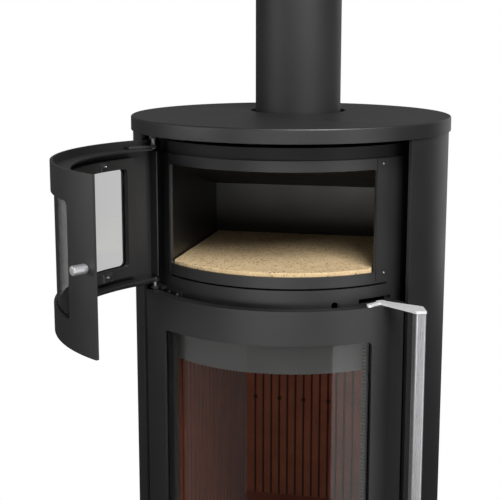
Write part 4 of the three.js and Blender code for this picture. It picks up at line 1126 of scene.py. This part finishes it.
def handle_bar():
    """The long bar, slightly rounded at its corners."""
    bottom, top = low("handle_bar"), high("handle_bar")
    width, depth, reach, skew = 16 * MM, 28 * MM, 69 * MM, 133.4
    bm = bmesh.new()
    bmesh.ops.create_cube(bm, size=1)
    bmesh.ops.scale(bm, vec=(depth, width, top - bottom), verts=bm.verts)
    upright = [edge for edge in bm.edges if abs(edge.verts[0].co.z - edge.verts[1].co.z) > 0.1]
    bmesh.ops.bevel(
        bm,
        geom=upright,
        offset=3 * MM,
        offset_type="OFFSET",
        segments=5,
        profile=0.5,
        affect="EDGES",
        material=-1,
    )
    softened(bm, EDGE)
    latch = middle_of("latch_rod")
    stand = Matrix.Translation((latch.x, latch.y, 0))
    pulled_out = Matrix.Rotation(math.radians(HANDLE_TURNED), 4, "Z")
    place = Matrix.Translation((reach, 0, (bottom + top) / 2))
    moved(bm, stand @ pulled_out @ place @ Matrix.Rotation(math.radians(skew), 4, "Z"))
    finished(
        "handle_bar_profile", bm, "handle", stainless, ["handle_bar"], smooth_below=30
    )


handle_bar()
# The latch arms and rod get the plating whose paleness is painted reflection
for metal_node in ("latch_arm_upper", "latch_arm_lower", "latch_rod"):
    refined(metal_node, "handle", plating, edge=EDGE)
CLIPS = ("oven_glass_clip_upper", "oven_glass_clip_lower")
for clip in CLIPS:
    refined(clip, "oven_door", zinc, edge=0.4 * MM)
for strap, body in (("oven", "oven_door"), ("fire", "fire_door"), ("lower", "lower_door")):
    for end in ("upper", "lower"):
        refined(f"{strap}_hinge_strap_{end}", body, paint, edge=EDGE)
for level in ("top", "middle", "lower", "base"):
    refined("hinge_bracket_" + level, "casing", paint, edge=EDGE)


SCREW_RADIUS = 2.6 * MM


def screw(name, body, place, direction, radius=SCREW_RADIUS):
    """A low screw head with a round socket."""
    sunk, rim, crown, socket = -1 * MM, 1.1 * MM, 1.7 * MM, 0.4 * MM
    profile = [
        (0, sunk),
        (radius, sunk),
        (radius, rim),
        (radius * 0.75, crown),
        (radius * 0.5, crown),
        (radius * 0.4, socket),
        (0, socket),
    ]
    bm = turned(profile, 24)
    moved(bm, pointing(direction, place))
    finished(name, bm, body, zinc)


def fascia_plate(name, proud, thickness, left, right, bottom, top, corner, edge):
    """A thin curved plate that lies on the fascia and stands proud of it."""
    bm = rolled_sheet(
        FASCIA_RADIUS + proud, thickness, left, right, bottom, top, corner=corner, edge=edge
    )
    finished(name, bm, "casing", paint)


def fascia_screw(name, proud, angle, height, radius=SCREW_RADIUS):
    place = polar(FASCIA_RADIUS + proud, angle, height)
    screw(name, "casing", place, polar(1, angle), radius)


TRIM_PROUD = 1.2 * MM
TRIM_NEAR, TRIM_FAR = 44.2, 49.1  # degrees from the front
for side, mark in ((1, "right"), (-1, "left")):
    trim_left, trim_right = sorted((side * TRIM_NEAR, side * TRIM_FAR))
    fascia_plate(
        "opening_trim_" + mark,
        proud=TRIM_PROUD,
        thickness=1.15 * MM,
        left=trim_left,
        right=trim_right,
        bottom=OVEN_OPENING[0] - 13 * MM,
        top=FASCIA_TOP - 1 * MM,
        corner=0.5 * MM,
        edge=0.3 * MM,
    )
fascia_screw("fascia_screw_upper", TRIM_PROUD, 47.1, FASCIA_TOP - 9.5 * MM)
fascia_screw("fascia_screw_lower", TRIM_PROUD, 48.1, OVEN_OPENING[0] - 2.5 * MM)
fascia_plate(
    "latch_strike",
    proud=1.5 * MM,
    thickness=1.45 * MM,
    left=28.8,
    right=36.5,
    bottom=FIRE_DOOR_TOP - 10 * MM,
    top=FIRE_DOOR_TOP + 2.5 * MM,
    corner=SHEET_CORNER,
    edge=0.4 * MM,
)
FOOT_PROUD = 2.6 * MM
FOOT_HEIGHT = FIRE_DOOR_TOP - 3 * MM
fascia_plate(
    "hinge_bracket_foot",
    proud=FOOT_PROUD,
    thickness=2.5 * MM,
    left=-47.5,
    right=-36.6,
    bottom=FOOT_HEIGHT - 7 * MM,
    top=FOOT_HEIGHT + 6.5 * MM,
    corner=SHEET_CORNER,
    edge=0.4 * MM,
)
for mark, angle in (("left", -44.9), ("right", -38.8)):
    fascia_screw("bracket_screw_" + mark, FOOT_PROUD, angle, FOOT_HEIGHT, 3 * MM)
for clip in CLIPS:
    place = middle_of(clip) + Vector((2.2 * MM, -0.6 * MM, 0))
    screw(clip + "_screw", "oven_door", place, (1, -0.3, 0), 2.3 * MM)


# ---- Camera, light and floor ---------------------------------------------------------------------

FRAME_PIXELS = 500
CAMERA_AROUND = 9.793  # degrees round the stove, to the viewer's right of its front
CAMERA_DISTANCE = 1.8381
CAMERA_ABOVE_PLATE = 0.1515
CAMERA_TURN = 2.137  # degrees past the stove's axis
CAMERA_PITCH = 9.831  # degrees downwards
FOCAL_PIXELS = 1078.1
CENTRE_ROW = 210  # the row of the picture that the lens looks straight at
SENSOR = 36.0  # millimetres across

camera_data = bpy.data.cameras.new("Camera")
camera_data.sensor_width = SENSOR
camera_data.lens = SENSOR * FOCAL_PIXELS / FRAME_PIXELS
camera_data.shift_y = (CENTRE_ROW - FRAME_PIXELS / 2) / FRAME_PIXELS
camera_data.clip_end = 100
camera = bpy.data.objects.new("Camera", camera_data)
camera.location = polar(CAMERA_DISTANCE, CAMERA_AROUND, PLATE_TOP + CAMERA_ABOVE_PLATE)
camera.rotation_euler = (
    math.radians(90 - CAMERA_PITCH),
    0,
    math.radians(CAMERA_AROUND + CAMERA_TURN),
)
scene.collection.objects.link(camera)
scene.camera = camera


def softbox(name, around, distance, height, width, tall, power, aim):
    """A lamp panel that stands round the stove and faces a point of it."""
    light = bpy.data.lights.new(name, "AREA")
    light.shape = "RECTANGLE"
    light.size = width
    light.size_y = tall
    light.energy = power
    lamp = bpy.data.objects.new(name, light)
    lamp.location = polar(distance, around, height)
    lamp.rotation_euler = (Vector(aim) - lamp.location).to_track_quat("-Z", "Y").to_euler()
    lamp.visible_camera = False
    scene.collection.objects.link(lamp)


# Name, degrees round the stove, distance, height, width, tallness, watts, and the point it faces
for panel in (
    ("High softbox", 33, 1.9, 2.9, 1.2, 1.2, 70, (0, -0.1, 1.0)),
    ("Left panel", -53, 1.7, 1.5, 1.0, 0.8, 5.5, (0, 0, 1.3)),
    ("Low left panel", -42, 1.3, 0.72, 1.15, 1.44, 1.5, (0, 0, 0.8)),
    ("Right panel", 52, 1.25, 0.8, 0.6, 1.6, 3.5, (0, 0, 0.9)),
    ("Front panel", -3, 2.1, 0.7, 1.6, 0.52, 7.5, (0, 0, 0.9)),
    ("Back panel", 152, 2.3, 1.2, 1.3, 1.6, 5, (0, 0, 0.8)),
):
    softbox(*panel)

WHITE = 1.0
ROOM_LIGHT = 0.33  # strength of the surround as plain light
ROOM_IN_FRONT = 0.03  # and where it is mirrored
ROOM_BEHIND = 0.17
MIRRORED_FLOOR = 0.04
FLOOR_RADIUS = 9.0
FLOOR_FADE = (0.7, 1.3)  # distances between which the floor turns white


def ways_seen(tree):
    """Whether a surround is seen straight or through glass, and whether it is mirrored."""
    path = add_node(tree, "ShaderNodeLightPath").outputs
    unmirrored = maths(tree, "LESS_THAN", path["Glossy Depth"], 0.5)
    through = maths(tree, "MULTIPLY", path["Is Transmission Ray"], unmirrored)
    mirrored = maths(tree, "SUBTRACT", path["Is Glossy Ray"], through)
    return maths(tree, "MAXIMUM", path["Is Camera Ray"], through), mirrored


def studio_world():
    """White to the camera and through glass; a soft grey room for light and reflections."""
    world = bpy.data.worlds.new("Studio")
    scene.world = world
    world.use_nodes = True
    tree = world.node_tree
    tree.nodes.clear()
    seen, mirrored = ways_seen(tree)
    direction = add_node(tree, "ShaderNodeSeparateXYZ")
    wire(tree, add_node(tree, "ShaderNodeTexCoord").outputs["Generated"], direction.inputs[0])
    room = ranged(tree, direction.outputs["Y"], -0.6, 0.9, ROOM_IN_FRONT, ROOM_BEHIND)
    shade = ranged(tree, mirrored, 0.0, 1.0, ROOM_LIGHT, room)
    background = add_node(tree, "ShaderNodeBackground")
    background.inputs["Color"].default_value = (1, 1, 1, 1)
    wire(tree, ranged(tree, seen, 0.0, 1.0, shade, WHITE), background.inputs["Strength"])
    result = add_node(tree, "ShaderNodeOutputWorld")
    wire(tree, background.outputs[0], result.inputs["Surface"])


def floor_material():
    """Pale floor that holds the stove's shadow and fades to the white background."""
    material, tree, shader = new_material(
        "Studio floor", Base_Color=(0.86, 0.86, 0.86, 1), Roughness=0.8, Specular_IOR_Level=0.1
    )
    place = add_node(tree, "ShaderNodeSeparateXYZ")
    wire(tree, object_coordinates(tree), place.inputs[0])
    across = maths(tree, "MULTIPLY", place.outputs["X"], place.outputs["X"])
    along = maths(tree, "MULTIPLY", place.outputs["Y"], place.outputs["Y"])
    distance = maths(tree, "SQRT", maths(tree, "ADD", across, along))
    far = ranged(tree, distance, *FLOOR_FADE, 0.0, 1.0)
    seen, mirrored = ways_seen(tree)
    white = add_node(tree, "ShaderNodeEmission")
    strength = ranged(tree, mirrored, 0.0, 1.0, WHITE, MIRRORED_FLOOR)
    wire(tree, strength, white.inputs["Strength"])
    mixed = add_node(tree, "ShaderNodeMixShader")
    share = maths(tree, "MAXIMUM", maths(tree, "MULTIPLY", far, seen), mirrored)
    wire(tree, share, mixed.inputs[0])
    wire(tree, shader.outputs[0], mixed.inputs[1])
    wire(tree, white.outputs[0], mixed.inputs[2])
    wire(tree, mixed.outputs[0], tree.nodes["Material Output"].inputs["Surface"])
    return material


def floor():
    bm = bmesh.new()
    bmesh.ops.create_circle(bm, cap_ends=True, segments=96, radius=FLOOR_RADIUS)
    mesh = bpy.data.meshes.new("floor")
    bm.to_mesh(mesh)
    bm.free()
    piece = bpy.data.objects.new("floor", mesh)
    piece.data.materials.append(floor_material())
    scene.collection.objects.link(piece)


studio_world()
floor()
scene.view_settings.view_transform = "Standard"
